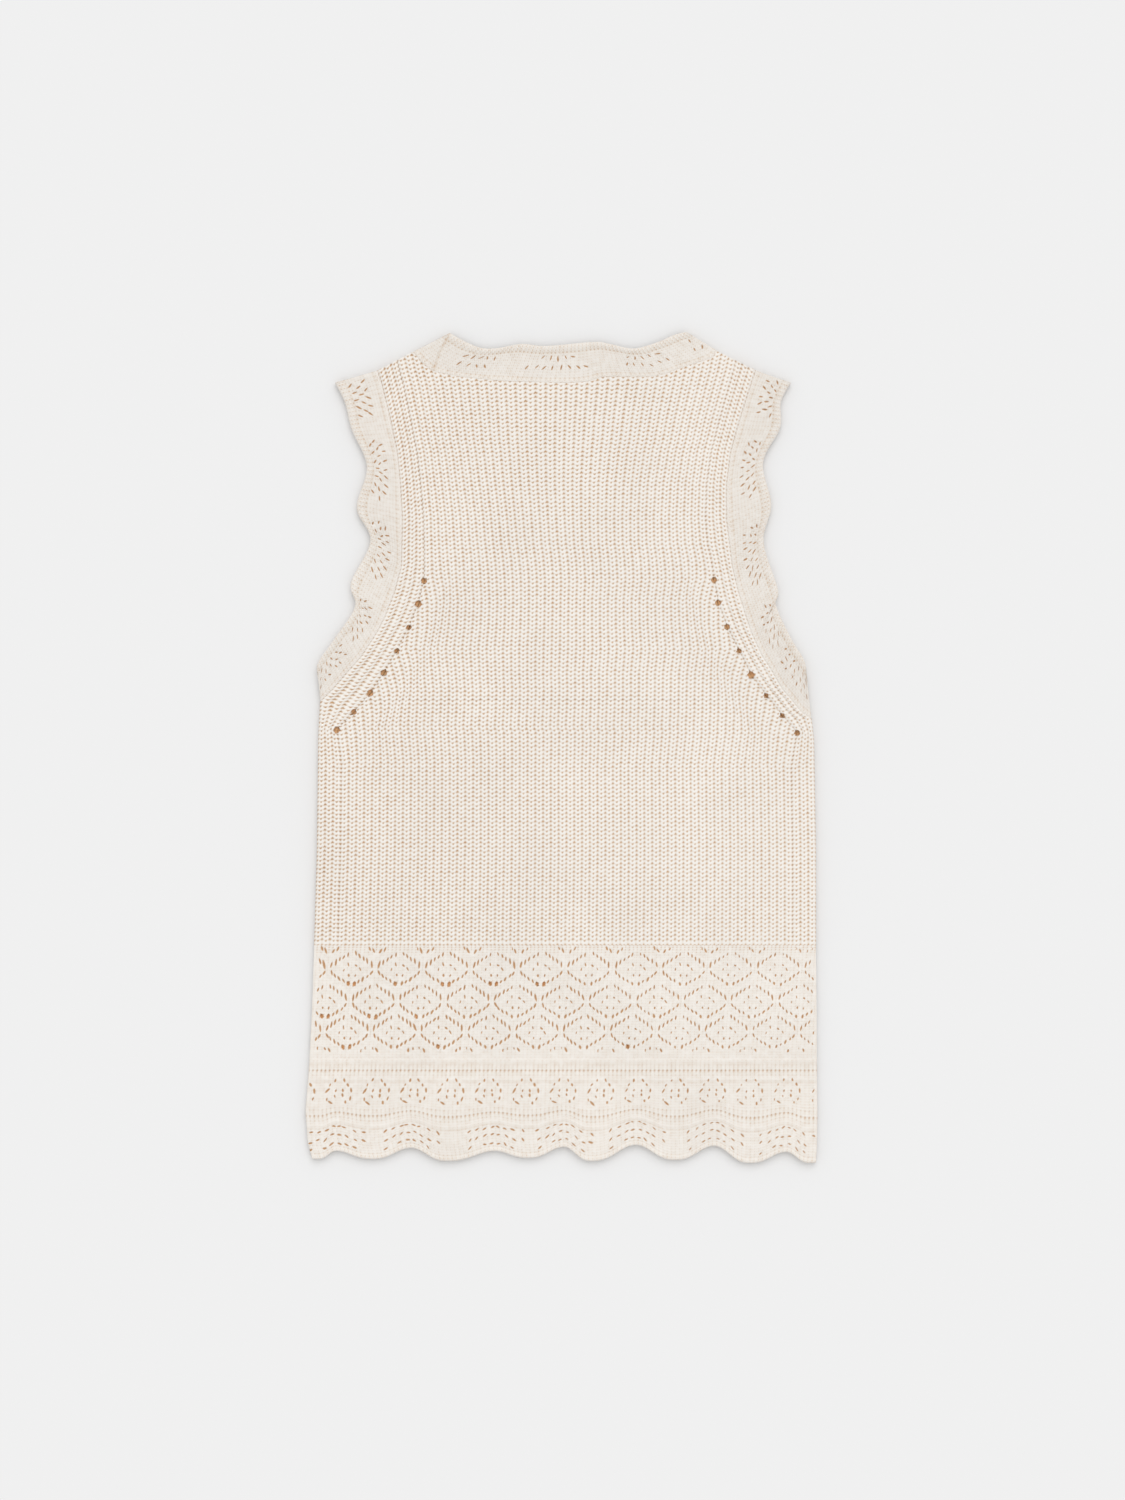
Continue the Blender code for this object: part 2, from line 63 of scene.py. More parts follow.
bpy.ops.mesh.primitive_plane_add(size=FLOOR_SIZE)
floor = bpy.context.object
floor.name = "floor"
for corner in floor.data.vertices:
    corner.co.z = FLOOR_HEIGHT
floor_paint = bpy.data.materials.new("pale_floor")
floor_paint.use_nodes = True
floor_shader = floor_paint.node_tree.nodes["Principled BSDF"]
floor_shader.inputs["Base Color"].default_value = FLOOR_COLOUR
floor_shader.inputs["Roughness"].default_value = FLOOR_ROUGHNESS
floor_shader.inputs["Specular IOR Level"].default_value = 0.0
floor.data.materials.append(floor_paint)

world_light = bpy.data.worlds.new("soft_studio")
bpy.context.scene.world = world_light
world_light.use_nodes = True
world_shader = world_light.node_tree.nodes["Background"]
world_shader.inputs["Color"].default_value = WORLD_COLOUR
world_shader.inputs["Strength"].default_value = WORLD_STRENGTH
bpy.context.scene.view_settings.view_transform = "Standard"

bpy.ops.object.light_add(type="SUN", rotation=(radians(SUN_TILT), radians(SUN_TURN), 0.0))
bpy.context.object.data.energy = SUN_STRENGTH
bpy.context.object.data.angle = radians(SUN_SOFTNESS)

bpy.ops.object.camera_add(location=(*FRAME_CENTRE, FRAME_HEIGHT * LENS / SENSOR + FRAME_LEVEL))
camera = bpy.context.object
camera.data.lens = LENS
camera.data.sensor_width = SENSOR
camera.data.clip_end = VIEW_END
bpy.context.scene.camera = camera


# ---------------------------------------------------------------- cotton yarn
# One soft matt cotton yarn knits every piece. Its own colour is cream. The tan where a stitch sinks
# in is painted shade, and the warm brown inside a hole is painted shade and a painted glow of the
# light that only arrives there through more cotton.
YARN_AND_PAINTED_SHADE_TONES = (
    # painted shade, colour: 0 is the yarn's own cream, the tans and browns are painted shade, and the
    # last is a painted glow of yarn inside the vest, as light comes through it
    (0.0, (0.871, 0.838, 0.795, 1.0)),
    (0.2, (0.785, 0.718, 0.640, 1.0)),
    (0.48, (0.650, 0.485, 0.350, 1.0)),
    (0.7, (0.580, 0.385, 0.245, 1.0)),
    (0.94, (0.5, 0.275, 0.130, 1.0)),
    (1.0, (0.950, 0.620, 0.340, 1.0)),
)
# Noises: how often in a metre, and the detail
FUZZ_NOISE = (2600.0, 4.0)
STRAND_NOISE = (900.0, 2.0)
STITCH_NOISE = (260.0, 1.0)
CLOTH_NOISE = (14.0, 2.0)
NOISE_SPREAD = (0.3, 0.7)
# What the noises turn into
STITCH_DEPTHS = (0.86, 1.14)
STRAND_DEPTHS = (-0.035, 0.035)
GAP_DEPTHS = (0.5, 1.5)
SLIT_RIMS = (0.85, 1.15)
CLOTH_LIGHTS = (0.975, 1.02)
FUZZ_LIGHTS = (0.97, 1.03)
YARN_ROUGHNESS = (0.82, 0.96)
# A slit's painted shade: how far out from its middle it fades, and the shades it fades between
SLIT_FADE = (0.8, 1.25)
PAINTED_SLIT_SHADES = (0.88, 0.0)
LEG_LEAN = 0.9
LEG_HEIGHT = 1.2
FUZZ_HEIGHT = 0.00012
FUZZ_STRENGTH = 0.5
YARN_SURFACE = {"Specular IOR Level": 0.15, "Sheen Weight": 0.12, "Sheen Roughness": 0.6}


def link_nodes(tree, *pairs):
    """Join node outputs to inputs."""
    for output, entry in pairs:
        tree.links.new(output, entry)


def add_noise(tree, place, scale, detail):
    noise = tree.nodes.new("ShaderNodeTexNoise")
    noise.inputs["Scale"].default_value = scale
    noise.inputs["Detail"].default_value = detail
    tree.links.new(place, noise.inputs["Vector"])
    return noise.outputs["Fac"]


def add_range(tree, value, wanted, given=NOISE_SPREAD):
    """Turn the values of a given range into those of a wanted one."""
    spread = tree.nodes.new("ShaderNodeMapRange")
    for name, number in zip(("From Min", "From Max", "To Min", "To Max"), (*given, *wanted)):
        spread.inputs[name].default_value = number
    tree.links.new(value, spread.inputs["Value"])
    return spread.outputs["Result"]


def add_maths(tree, operation, first, second):
    sum_node = tree.nodes.new("ShaderNodeMath")
    sum_node.operation = operation
    for entry, value in zip(sum_node.inputs, (first, second)):
        if isinstance(value, float):
            entry.default_value = value
        else:
            tree.links.new(value, entry)
    return sum_node.outputs["Value"]


def add_stitch_gaps(tree, stitch):
    """How deep the gap beside a leg of a V stitch is. A stitch's place counts wales, then courses."""
    parts = tree.nodes.new("ShaderNodeSeparateXYZ")
    tree.links.new(stitch, parts.inputs["Vector"])
    across = add_maths(tree, "PINGPONG", parts.outputs["X"], 0.5)
    up = add_maths(tree, "ADD", parts.outputs["Y"], add_maths(tree, "MULTIPLY", across, 2.0 * LEG_LEAN))
    middle = add_maths(tree, "MULTIPLY", add_maths(tree, "PINGPONG", up, 0.5), 2.0)
    return add_maths(tree, "POWER", add_maths(tree, "SUBTRACT", 1.0, middle), 2.0)


def add_painted_slit_shade(tree, slit, uneven):
    """Painted shade where the yarn parts into a slit, dark in its middle. A slit's place counts half
    widths and half lengths from the slit's middle, so its rim is at 1."""
    reach = tree.nodes.new("ShaderNodeVectorMath")
    reach.operation = "LENGTH"
    tree.links.new(slit, reach.inputs[0])
    rim = add_maths(tree, "MULTIPLY", reach.outputs["Value"], uneven)
    return add_range(tree, rim, PAINTED_SLIT_SHADES, SLIT_FADE)


def make_yarn_group():
    """Colour with painted shade, roughness and fuzz height of cotton yarn, from how deep the stitch
    sinks in.
    """
    group = bpy.data.node_groups.new("cotton_yarn", "ShaderNodeTree")
    for name, kind, way in (
        ("Place", "NodeSocketVector", "INPUT"),
        ("Painted Shade", "NodeSocketFloat", "INPUT"),
        ("Stitch", "NodeSocketVector", "INPUT"),
        ("Gap Shade", "NodeSocketFloat", "INPUT"),
        ("Slit", "NodeSocketVector", "INPUT"),
        ("Lightness", "NodeSocketFloat", "INPUT"),
        ("Colour", "NodeSocketColor", "OUTPUT"),
        ("Roughness", "NodeSocketFloat", "OUTPUT"),
        ("Fuzz", "NodeSocketFloat", "OUTPUT"),
    ):
        group.interface.new_socket(name=name, in_out=way, socket_type=kind)
    entry = group.nodes.new("NodeGroupInput")
    leave = group.nodes.new("NodeGroupOutput")
    place = entry.outputs["Place"]
    fuzz = add_noise(group, place, *FUZZ_NOISE)
    strand = add_noise(group, place, *STRAND_NOISE)
    stitch = add_noise(group, place, *STITCH_NOISE)
    cloth = add_noise(group, place, *CLOTH_NOISE)
    # The painted shade of the yarn: deeper where a stitch sinks in, in the gaps beside its legs and in a
    # slit's dark middle
    sunk = add_maths(group, "MULTIPLY", entry.outputs["Painted Shade"], add_range(group, stitch, STITCH_DEPTHS))
    sunk = add_maths(group, "ADD", sunk, add_range(group, strand, STRAND_DEPTHS))
    gaps = add_stitch_gaps(group, entry.outputs["Stitch"])
    gaps = add_maths(group, "MULTIPLY", gaps, add_range(group, stitch, GAP_DEPTHS))
    # Painted shade in the gaps beside the legs, as strong as the gap shade
    gap_tone = add_maths(group, "MULTIPLY", gaps, entry.outputs["Gap Shade"])
    slits = add_painted_slit_shade(group, entry.outputs["Slit"], add_range(group, strand, SLIT_RIMS))
    sunk = add_maths(group, "MAXIMUM", add_maths(group, "ADD", sunk, gap_tone), slits)
    tones = group.nodes.new("ShaderNodeValToRGB")
    ramp = tones.color_ramp
    while len(ramp.elements) < len(YARN_AND_PAINTED_SHADE_TONES):
        ramp.elements.new(0.5)
    for element, (at, colour) in zip(ramp.elements, YARN_AND_PAINTED_SHADE_TONES):
        element.position = at
        element.color = colour
    light = add_range(group, cloth, CLOTH_LIGHTS)
    light = add_maths(group, "MULTIPLY", light, add_range(group, fuzz, FUZZ_LIGHTS))
    light = add_maths(group, "MULTIPLY", light, entry.outputs["Lightness"])
    lit = group.nodes.new("ShaderNodeVectorMath")
    lit.operation = "SCALE"
    height = add_maths(group, "ADD", fuzz, strand)
    height = add_maths(group, "SUBTRACT", height, add_maths(group, "MULTIPLY", gaps, LEG_HEIGHT))
    link_nodes(
        group,
        (sunk, tones.inputs["Fac"]),
        (tones.outputs["Color"], lit.inputs[0]),
        (light, lit.inputs["Scale"]),
        (lit.outputs["Vector"], leave.inputs["Colour"]),
        (add_range(group, strand, YARN_ROUGHNESS), leave.inputs["Roughness"]),
        (height, leave.inputs["Fuzz"]),
    )
    return group


yarn_group = make_yarn_group()


def cotton_material(name, gap_shade, lightness):
    """Cotton yarn as one material: the yarn group with its painted shade, a fuzzy surface and a faint
    sheen.
    """
    material = bpy.data.materials.new(name)
    material.use_nodes = True
    tree = material.node_tree
    shader = tree.nodes["Principled BSDF"]
    for socket, value in YARN_SURFACE.items():
        shader.inputs[socket].default_value = value
    place = tree.nodes.new("ShaderNodeTexCoord")
    painted_shade = tree.nodes.new("ShaderNodeAttribute")
    painted_shade.attribute_name = "painted_shade"
    stitch = tree.nodes.new("ShaderNodeUVMap")
    stitch.uv_map = "stitch"
    slit = tree.nodes.new("ShaderNodeUVMap")
    slit.uv_map = "slit"
    yarn = tree.nodes.new("ShaderNodeGroup")
    yarn.node_tree = yarn_group
    yarn.inputs["Gap Shade"].default_value = gap_shade
    yarn.inputs["Lightness"].default_value = lightness
    bump = tree.nodes.new("ShaderNodeBump")
    bump.inputs["Distance"].default_value = FUZZ_HEIGHT
    bump.inputs["Strength"].default_value = FUZZ_STRENGTH
    link_nodes(
        tree,
        (place.outputs["Object"], yarn.inputs["Place"]),
        (painted_shade.outputs["Fac"], yarn.inputs["Painted Shade"]),
        (stitch.outputs["UV"], yarn.inputs["Stitch"]),
        (slit.outputs["UV"], yarn.inputs["Slit"]),
        (yarn.outputs["Colour"], shader.inputs["Base Color"]),
        (yarn.outputs["Roughness"], shader.inputs["Roughness"]),
        (yarn.outputs["Fuzz"], bump.inputs["Height"]),
        (bump.outputs["Normal"], shader.inputs["Normal"]),
    )
    return material


# The gap shade is the painted shade in the gaps beside each stitch's legs
rib_cotton = cotton_material("rib_cotton", gap_shade=0.04, lightness=0.98)
lace_cotton = cotton_material("lace_cotton", gap_shade=0.18, lightness=0.99)
band_cotton = cotton_material("band_cotton", gap_shade=0.20, lightness=0.945)


# ---------------------------------------------------------------- the back's rib
# The back is one cotton panel in half-fisherman rib, knitted from the hem up. Ribs are lost at
# eight fashioning holes on each side, three ribs in from the armhole. Heights are in millimetres
# over the tips of the hem. It is two meshes, parted along one course.
LENGTH = 623.25
BACK_BASE = 2.9
RIB_VALLEY = 2.1
RIB_RIDGE = 2.9
# Painted shade along the rib's valleys
VALLEY_TONE = 0.20
COURSE = 3.15
ROWS_PER_COURSE = 3
COLUMNS_PER_RIB = 8
RIB_LEAN = 0.5
LACE_TOP = 163.5
LACE_LEVEL = 1.95
LACE_BLEND = 6.0
RIB_PARTING = 346.2
GRID_TOP = 611.0
LOWER_RIBS = 29
UPPER_RIBS = 27
EDGE_RIBS = 3
BODY_EDGE = np.array((
    # height, left x, right x
    (3.0, -186.0, 190.5), (17.0, -190.1, 191.6), (40.0, -192.0, 192.0), (70.0, -189.4, 191.6),
    (115.0, -187.1, 191.4), (160.0, -185.6, 190.9), (235.0, -183.4, 190.8), (317.0, -182.4, 189.4),
    (333.2, -181.8, 187.6), (338.0, -181.5, 180.2), (346.5, -181.0, 173.6), (355.0, -172.5, 166.1),
    (370.0, -159.4, 157.5), (380.0, -150.4, 150.8), (397.5, -139.1, 142.9), (408.8, -133.1, 139.1),
    (428.0, -125.6, 133.1), (447.0, -120.6, 128.6), (483.0, -119.6, 124.1), (508.0, -121.1, 124.1),
    (532.5, -123.4, 127.1), (557.0, -128.6, 133.9), (583.0, -134.8, 142.2), (594.1, -138.4, 145.9),
    (612.0, -143.0, 150.5),
))
TOP_EDGE = np.array((
    # x, height
    (-138.4, 594.0), (-111.4, 608.25), (-103.1, 598.9), (-94.1, 593.25), (-73.9, 589.5),
    (-44.6, 586.5), (-1.1, 585.0), (17.6, 585.75), (33.4, 589.5), (70.9, 590.25), (89.6, 596.25),
    (112.1, 603.75), (115.9, 609.2), (145.9, 594.2),
))
EYELETS = np.array((
    # ribs left per side, left height, left x, right height, right x, left radius, right radius
    (29, 324.75, -168.4, 322.5, 176.6, 2.3, 2.0),
    (27, 338.25, -155.6, 335.6, 165.4, 1.8, 1.7),
    (25, 352.5, -143.3, 350.6, 153.4, 2.2, 1.7),
    (23, 367.6, -133.1, 366.0, 142.1, 2.3, 2.5),
    (21, 384.0, -123.4, 384.0, 133.1, 1.8, 1.8),
    (20, 401.6, -114.4, 402.0, 124.1, 1.8, 2.0),
    (19, 419.25, -107.3, 420.0, 117.4, 2.4, 2.1),
    (18, 436.5, -103.1, 437.25, 114.4, 2.1, 1.9),
))
# Holes: how their rims wave and are turned, and the raised ring of yarn round them. The ring takes
# less painted shade, and the rims are painted dark as shade
EYELET_POINTS = 5
EYELET_WAVE = 0.18
EYELET_TURNS = ((0.0, 1.3), (0.8, 1.7))
EYELET_RING = (1.25, 0.3)  # place and half width, in radii
EYELET_RISE = 0.3
EYELET_DROP = 0.5
RING_LIGHT = 0.5
RIM_RECESS = 0.90
# How the ribs run back to even spacing past the holes, bend beside them and spread on the chest
FASHIONING_FADE = 26.0
FASHIONING_BEND = 0.016
BEND_FROM = 0.76
BEND_HEIGHTS = (290.0, 450.0)
BEND_FADES = (30.0, 20.0)
BEND_BLEND = 0.6
SETTLING_ROUNDS = 4
CHEST_SPREAD = 0.18
SPREAD_HEIGHTS = (440.0, 540.0)
SPREAD_OPENING = 0.12
# Dots between the stitches: half width, depth, painted shade. Then the most painted shade of a dot,
# and the depth and painted shade of a row between courses
VALLEY_DOT = (0.23, 0.6, 1.40)
RIDGE_DOT = (0.21, 0.5, 1.25)
DEEPEST_DOT = 0.92
COURSE_DEPTH = 0.04
# How much the openness of the dots varies from stitch to stitch, and across the back
OPENNESS_SEED = 7
OPENNESS_TABLE = (131, 211)
OPENNESS_SPREAD = 0.16
OPENNESS_LIMITS = (0.55, 1.4)
MIDDLE_OPENNESS = 1.06
SIDE_OPENNESS = 0.0014
LACE_OPENNESS = 0.85
CURVE_STEPS = 8
# The swells of the cloth: rise, then length and shift
SWELL_LEVEL = 0.45
BROAD_SWELL = (0.275, 47.0, 0.8, 83.0, 0.4)
SLANTING_SWELL = (0.175, 21.0, 60.0)
# The mesh of a piece: places that share a spot are one point
SPOTS_PER_MILLIMETRE = 500.0
SPOT_SPAN = 4000000
TRIANGLES_BETWEEN_RIMS = 4
FILL_TOLERANCE = 1e-5
SHARP_ANGLE = 70.0
INNER_STITCH = (3.0, 1.9)
FRONT_PRESSED = 0.85
FLOOR_GAP = 0.05
NO_SLIT = 9.0
# Painted shade of the inner side and of a wall's foot at an outer edge, and the painted glow of one
# in a hole, standing in for light that comes through the yarn
INNER_RECESS = 0.2
EDGE_RECESS = 0.25
PAINTED_GLOW = 1.25
HOLE_RECESS = 0.8
LEAST_AREA = 0.31


def part_way(distance, reach):
    """How much of a reach a distance covers, from 0 to 1."""
    return np.clip(distance / reach, 0.0, 1.0)


def bell(value, middle, width):
    """A smooth hump of height 1 round a middle."""
    return np.exp(-(((value - middle) / width) ** 2))


def off_middle(number):
    """How far a place is from the middle of its rib or wale: 0 in the middle, 1 at the valleys."""
    return np.abs(2.0 * (number - np.floor(number)) - 1.0)


def edge_x(side, height):
    """Side seam, then armhole seam: side 0 is the left, 1 the right."""
    return np.interp(height, BODY_EDGE[:, 0], BODY_EDGE[:, 1 + side])


def chest_spread(height):
    """How far the ribs spread towards the middle above the armholes, from 0 to 1."""
    start, full = SPREAD_HEIGHTS
    return part_way(height - start, full - start)


def ribs_inside(side, height):
    """Ribs between the middle and the fashioning line."""
    return np.interp(height, EYELETS[:, 1 + 2 * side], EYELETS[:, 0])


def spread_ribs(share, height):
    return share + CHEST_SPREAD * chest_spread(height) * np.sin(pi * share) / pi


def fashioning_x(side, height):
    """The fashioning line, three ribs in from the side seam and from the armhole."""
    height = np.asarray(height, float)
    line_heights, line_places = EYELETS[:, 1 + 2 * side], EYELETS[:, 2 + 2 * side]
    line = np.interp(height, line_heights, line_places)
    left, right = edge_x(0, height), edge_x(1, height)
    middle, half = (left + right) / 2.0, (right - left) / 2.0
    inner = ribs_inside(side, height)
    even = middle + (-1, 1)[side] * half * spread_ribs(inner / (inner + EDGE_RIBS), height)
    past = np.maximum(line_heights[0] - height, height - line_heights[-1])
    return line + (even - line) * part_way(past, FASHIONING_FADE)


def rib_relief(rib, groove, openness):
    """Height over the base, and painted shade, of the half-fisherman rib. A rib's own number runs from
    valley to valley. Groove is 1 on the rows of points that lie between two courses."""
    across = off_middle(rib)
    wall = RIB_VALLEY + (RIB_RIDGE - RIB_VALLEY) * np.sin(pi * rib) ** 2
    depth, painted_shade = COURSE_DEPTH, COURSE_DEPTH
    for middle, (width, dot_depth, dot_recess) in ((1.0, VALLEY_DOT), (0.0, RIDGE_DOT)):
        dot = bell(across, middle, width) * openness
        depth = depth + dot_depth * dot
        painted_shade = painted_shade + dot_recess * dot
    painted_shade = groove * np.minimum(painted_shade, DEEPEST_DOT) + (1.0 - groove) * VALLEY_TONE * across ** 6
    return wall - groove * depth, painted_shade


def pull_from_holes(x, height, wall, painted_shade, holes, side):
    """Half holes at the edge of a sheet: its points move out to the rims. The sheet lies on one
    side of each hole: side 1 is towards the garment's middle, -1 away from it."""
    for hole_x, hole_height, radius, turn in holes:
        toward = -side if hole_x > 0.0 else side
        aside, up = (x - hole_x) * toward, height - hole_height
        lift = np.clip(up / radius, -1.0, 1.0)
        star = radius * (1.0 + EYELET_WAVE * np.cos(EYELET_POINTS * np.arcsin(lift) + turn))
        bay = star * np.sqrt(1.0 - lift ** 2)
        rim = (np.abs(up) < radius) & (aside < bay) & (aside > -2.0 * radius)
        ring = bell(np.hypot(np.maximum(aside, 0.0), up) / radius, *EYELET_RING)
        x = np.where(rim, hole_x + toward * bay, x)
        wall = wall + EYELET_RISE * ring - EYELET_DROP * rim
        # The rims are painted dark as shade, and the raised ring takes less painted shade
        painted_shade = np.where(rim, RIM_RECESS, painted_shade * (1.0 - RING_LIGHT * ring))
    return x, height, wall, painted_shade


def cloth_waves(x, height):
    """Soft uneven swells of the cloth as it lies, in millimetres."""
    rise, across, aside, up, above = BROAD_SWELL
    waves = rise * np.sin(x / across + aside) * np.sin(height / up + above)
    rise, across, up = SLANTING_SWELL
    return SWELL_LEVEL + waves + rise * np.sin(x / across - height / up)


def outer_face(places, columns, cut):
    """Triangles between the places of a grid, without those that are cut away, where their corners
    lie beside a slit, and their flat area. Places that fall together become one."""
    spots = np.round(places * SPOTS_PER_MILLIMETRE).astype(np.int64) @ (SPOT_SPAN, 1)
    _, first, same = np.unique(spots, return_index=True, return_inverse=True)
    same = first[same.ravel()]
    keep, slit_at = cut
    start = np.arange(len(places)).reshape(-1, columns)[:-1, :-1][keep]
    quads = same[start[:, None] + (0, 1, columns + 1, columns)]
    halves = (0, 1, 2), (0, 2, 3)
    faces = np.concatenate([quads[:, half] for half in halves])
    slit_at = np.concatenate([slit_at[keep][:, half] for half in halves])
    sides = places[faces[:, 1:]] - places[faces[:, :1]]
    area = sides[:, 0, 0] * sides[:, 1, 1] - sides[:, 0, 1] * sides[:, 1, 0]
    whole = (faces != np.roll(faces, 1, axis=1)).all(1)
    faces, slit_at = faces[whole], slit_at[whole]
    if area.sum() < 0.0:
        faces, slit_at = faces[:, ::-1], slit_at[:, ::-1]
    return faces, slit_at, np.abs(area).sum() / 2.0


def rim_loops(count, rim):
    """The number of the loop that each point is on, where the lines of the rim join the points."""
    loop = list(range(count))
    for first, last in rim:
        while loop[first] != first:
            loop[first] = first = loop[loop[first]]
        while loop[last] != last:
            loop[last] = last = loop[loop[last]]
        loop[max(first, last)] = min(first, last)
    for point in range(count):
        loop[point] = loop[loop[point]]
    return np.array(loop)


def without_caps(triangles, rim):
    """Leave out the triangles that would close a hole: those on the wrong side of its rim, and the
    ones beside them with all their corners on the same rim."""
    count = triangles.max() + 1
    loop = rim_loops(count, rim.tolist())[triangles]
    may_cap = (loop[:, 0] == loop[:, 1]) & (loop[:, 0] == loop[:, 2])
    ahead = np.roll(triangles, -1, axis=1)
    sides, sides_back = triangles * count + ahead, ahead * count + triangles
    rim_lines, rim_lines_back = rim @ (count, 1), rim @ (1, count)
    in_hole = may_cap & np.isin(sides, np.setdiff1d(rim_lines_back, rim_lines)).any(1)
    rim_lines = np.concatenate((rim_lines, rim_lines_back))
    found = 0
    while found < in_hole.sum():
        found = in_hole.sum()
        beyond = np.setdiff1d(sides_back[in_hole], rim_lines)
        in_hole |= may_cap & np.isin(sides, beyond).any(1)
    return triangles[~in_hole]


def inner_side(places, faces):
    """The flat inner side of a piece, within the rims of its outer face. It gives the inner places,
    the outer points that the first of them lie under, and the triangles of the walls and of the
    inner side. Inner places are numbered on from the outer ones."""
    edges = np.concatenate((faces[:, (0, 1)], faces[:, (1, 2)], faces[:, (2, 0)]))
    edge_numbers = np.sort(edges, axis=1) @ (len(places), 1)
    _, spot, uses = np.unique(edge_numbers, return_index=True, return_counts=True)
    rim = edges[spot[uses % 2 == 1]]
    rim_corners, low = np.unique(rim, return_inverse=True)
    low = low.reshape(rim.shape)
    corners = [Vector(place) for place in places[rim_corners]]
    settings = ([], TRIANGLES_BETWEEN_RIMS, FILL_TOLERANCE)
    filled, lines, inside, sources, line_sources, _ = delaunay_2d_cdt(corners, low.tolist(), *settings)
    added = [place for place, source in zip(filled, sources) if not source]
    spare = iter(range(len(corners), len(corners) + len(added)))
    number = np.array([source[0] if source else next(spare) for source in sources])
    inner_places = np.concatenate((places[rim_corners], np.array(added).reshape(-1, 2)))
    # The filling may split a line of the rim. The wall over it is then split at the same places.
    split = {}
    for line, source in zip(lines, line_sources):
        for rim_number in source:
            split.setdefault(rim_number, set()).update(number[list(line)])
    low_rim = []
    walls = [(rim[:, 1], rim[:, 0], low[:, 0] + len(places))]
    for rim_number, marks in split.items():
        start, end = low[rim_number]
        along = inner_places[end] - inner_places[start]
        chain = list(marks | {start, end})
        walked = (inner_places[chain] - inner_places[start]) @ along
        chain = np.array(chain)[np.argsort(walked, kind="stable")]
        low_rim.extend(zip(chain, chain[1:]))
        top = np.full(len(chain) - 1, rim[rim_number, 1])
        walls.append((top, chain[:-1] + len(places), chain[1:] + len(places)))
    walls = np.concatenate([np.stack(part, -1) for part in walls])
    inside = without_caps(number[np.array(inside)], np.array(low_rim))[:, ::-1] + len(places)
    return inner_places, rim_corners, walls, inside


def knit_shell(name, sheet, cut, base, yarn, grain, facing=1, inner_painted_shade=INNER_RECESS):
    """One knitted piece: a grid of places for its outer face, walls round its rims and holes,
    and a flat inner side at the base. The grain is the columns of points for each wale, and the
    rows for each course. A piece that faces down has its outer face below."""
    x, height, wall, painted_shade = sheet
    columns = x.shape[1]
    places = np.stack((x, height), -1).reshape(-1, 2)
    faces, slit_at, area = outer_face(places, columns, cut)
    inner_places, rim_corners, walls, inside = inner_side(places, faces)

    if facing == 1:
        level = base + (wall.ravel() + cloth_waves(*places.T))
    else:
        level = base - np.minimum(wall.ravel() * FRONT_PRESSED, base - FLOOR_GAP)
    flat = np.concatenate((places, inner_places))
    level = np.concatenate((level, np.full(len(inner_places), base)))
    points = np.column_stack((flat[:, 0], flat[:, 1] - LENGTH / 2.0, level)) / 1000.0

    # Painted shade darkens the walls towards their feet and the inner side; under a hole's rim it is a
    # painted glow
    inner_tones = np.full(len(inner_places), EDGE_RECESS)
    in_hole = painted_shade.ravel()[rim_corners] > HOLE_RECESS
    inner_tones[:len(rim_corners)][in_hole] = PAINTED_GLOW
    tones = np.concatenate((painted_shade.ravel(), inner_tones))
    outer = np.concatenate((faces, walls))
    corners = np.concatenate((outer, inside))
    tones = np.concatenate((tones[outer], np.full(inside.shape, inner_painted_shade)))
    slit_at = np.concatenate((slit_at, np.full((len(corners) - len(faces), 3, 2), NO_SLIT)))
    if facing == -1:
        corners, tones, slit_at = corners[:, ::-1], tones[:, ::-1], slit_at[:, ::-1]
    row_at, column_at = np.divmod(np.arange(len(places)), columns)
    stitch = np.column_stack((column_at / grain[0], row_at / grain[1]))
    stitch = np.concatenate((stitch, inner_places / INNER_STITCH))

    used, renumbered = np.unique(corners, return_inverse=True)
    data = bpy.data.meshes.new(name)
    data.from_pydata(points[used], [], renumbered.reshape(-1, 3))
    data.attributes.new("painted_shade", "FLOAT", "CORNER").data.foreach_set("value", tones.ravel())
    data.uv_layers.new(name="slit").data.foreach_set("uv", slit_at.ravel())
    data.uv_layers.new(name="stitch").data.foreach_set("uv", stitch[corners].ravel())
    data.materials.append(yarn)
    data.shade_smooth()
    data.set_sharp_from_angle(angle=radians(SHARP_ANGLE))
    piece = bpy.data.objects.new(name, data)
    bpy.context.scene.collection.objects.link(piece)
    return piece, area / 1e6


def knit_piece(name, node, slot, *shell):
    """One knitted piece, fixed to the root, with the CAD part that it replaces hidden. Its flat area is
    worked out and kept within its bounds.
    """
    piece, area = knit_shell(name, *shell)
    corners = np.array([corner.co for corner in piece.data.vertices])
    width, length = np.ptp(corners[:, :2], axis=0).tolist()
    area = min(max(area, LEAST_AREA * width * length), width * length)
    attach(piece, "root")
    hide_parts(node)


openness_rng = np.random.default_rng(OPENNESS_SEED)
openness_table = openness_rng.normal(1.0, OPENNESS_SPREAD, OPENNESS_TABLE)
openness_table = np.clip(openness_table, *OPENNESS_LIMITS)


def stitch_openness(half_rib, course, x):
    """How open each stitch's dot is: every stitch differs a little from its neighbours, and they
    are a little wider on the left, where the cloth is stretched more."""
    stitch = openness_table[half_rib % OPENNESS_TABLE[0], course % OPENNESS_TABLE[1]]
    return stitch * (MIDDLE_OPENNESS - SIDE_OPENNESS * x)


def rib_opening(height):
    """The dots fade out into the lace below, and are wider over the chest, where the ribs spread."""
    from_lace = np.clip((height - LACE_TOP) / LACE_BLEND, LACE_OPENNESS, 1.0)
    return from_lace * (1.0 + SPREAD_OPENING * chest_spread(height))


def rib_lean(rib, height):
    """How far up the points of a course lean from a ridge to the valleys beside it."""
    return RIB_LEAN * COURSE * off_middle(rib) * part_way(height - LACE_TOP, COURSE)


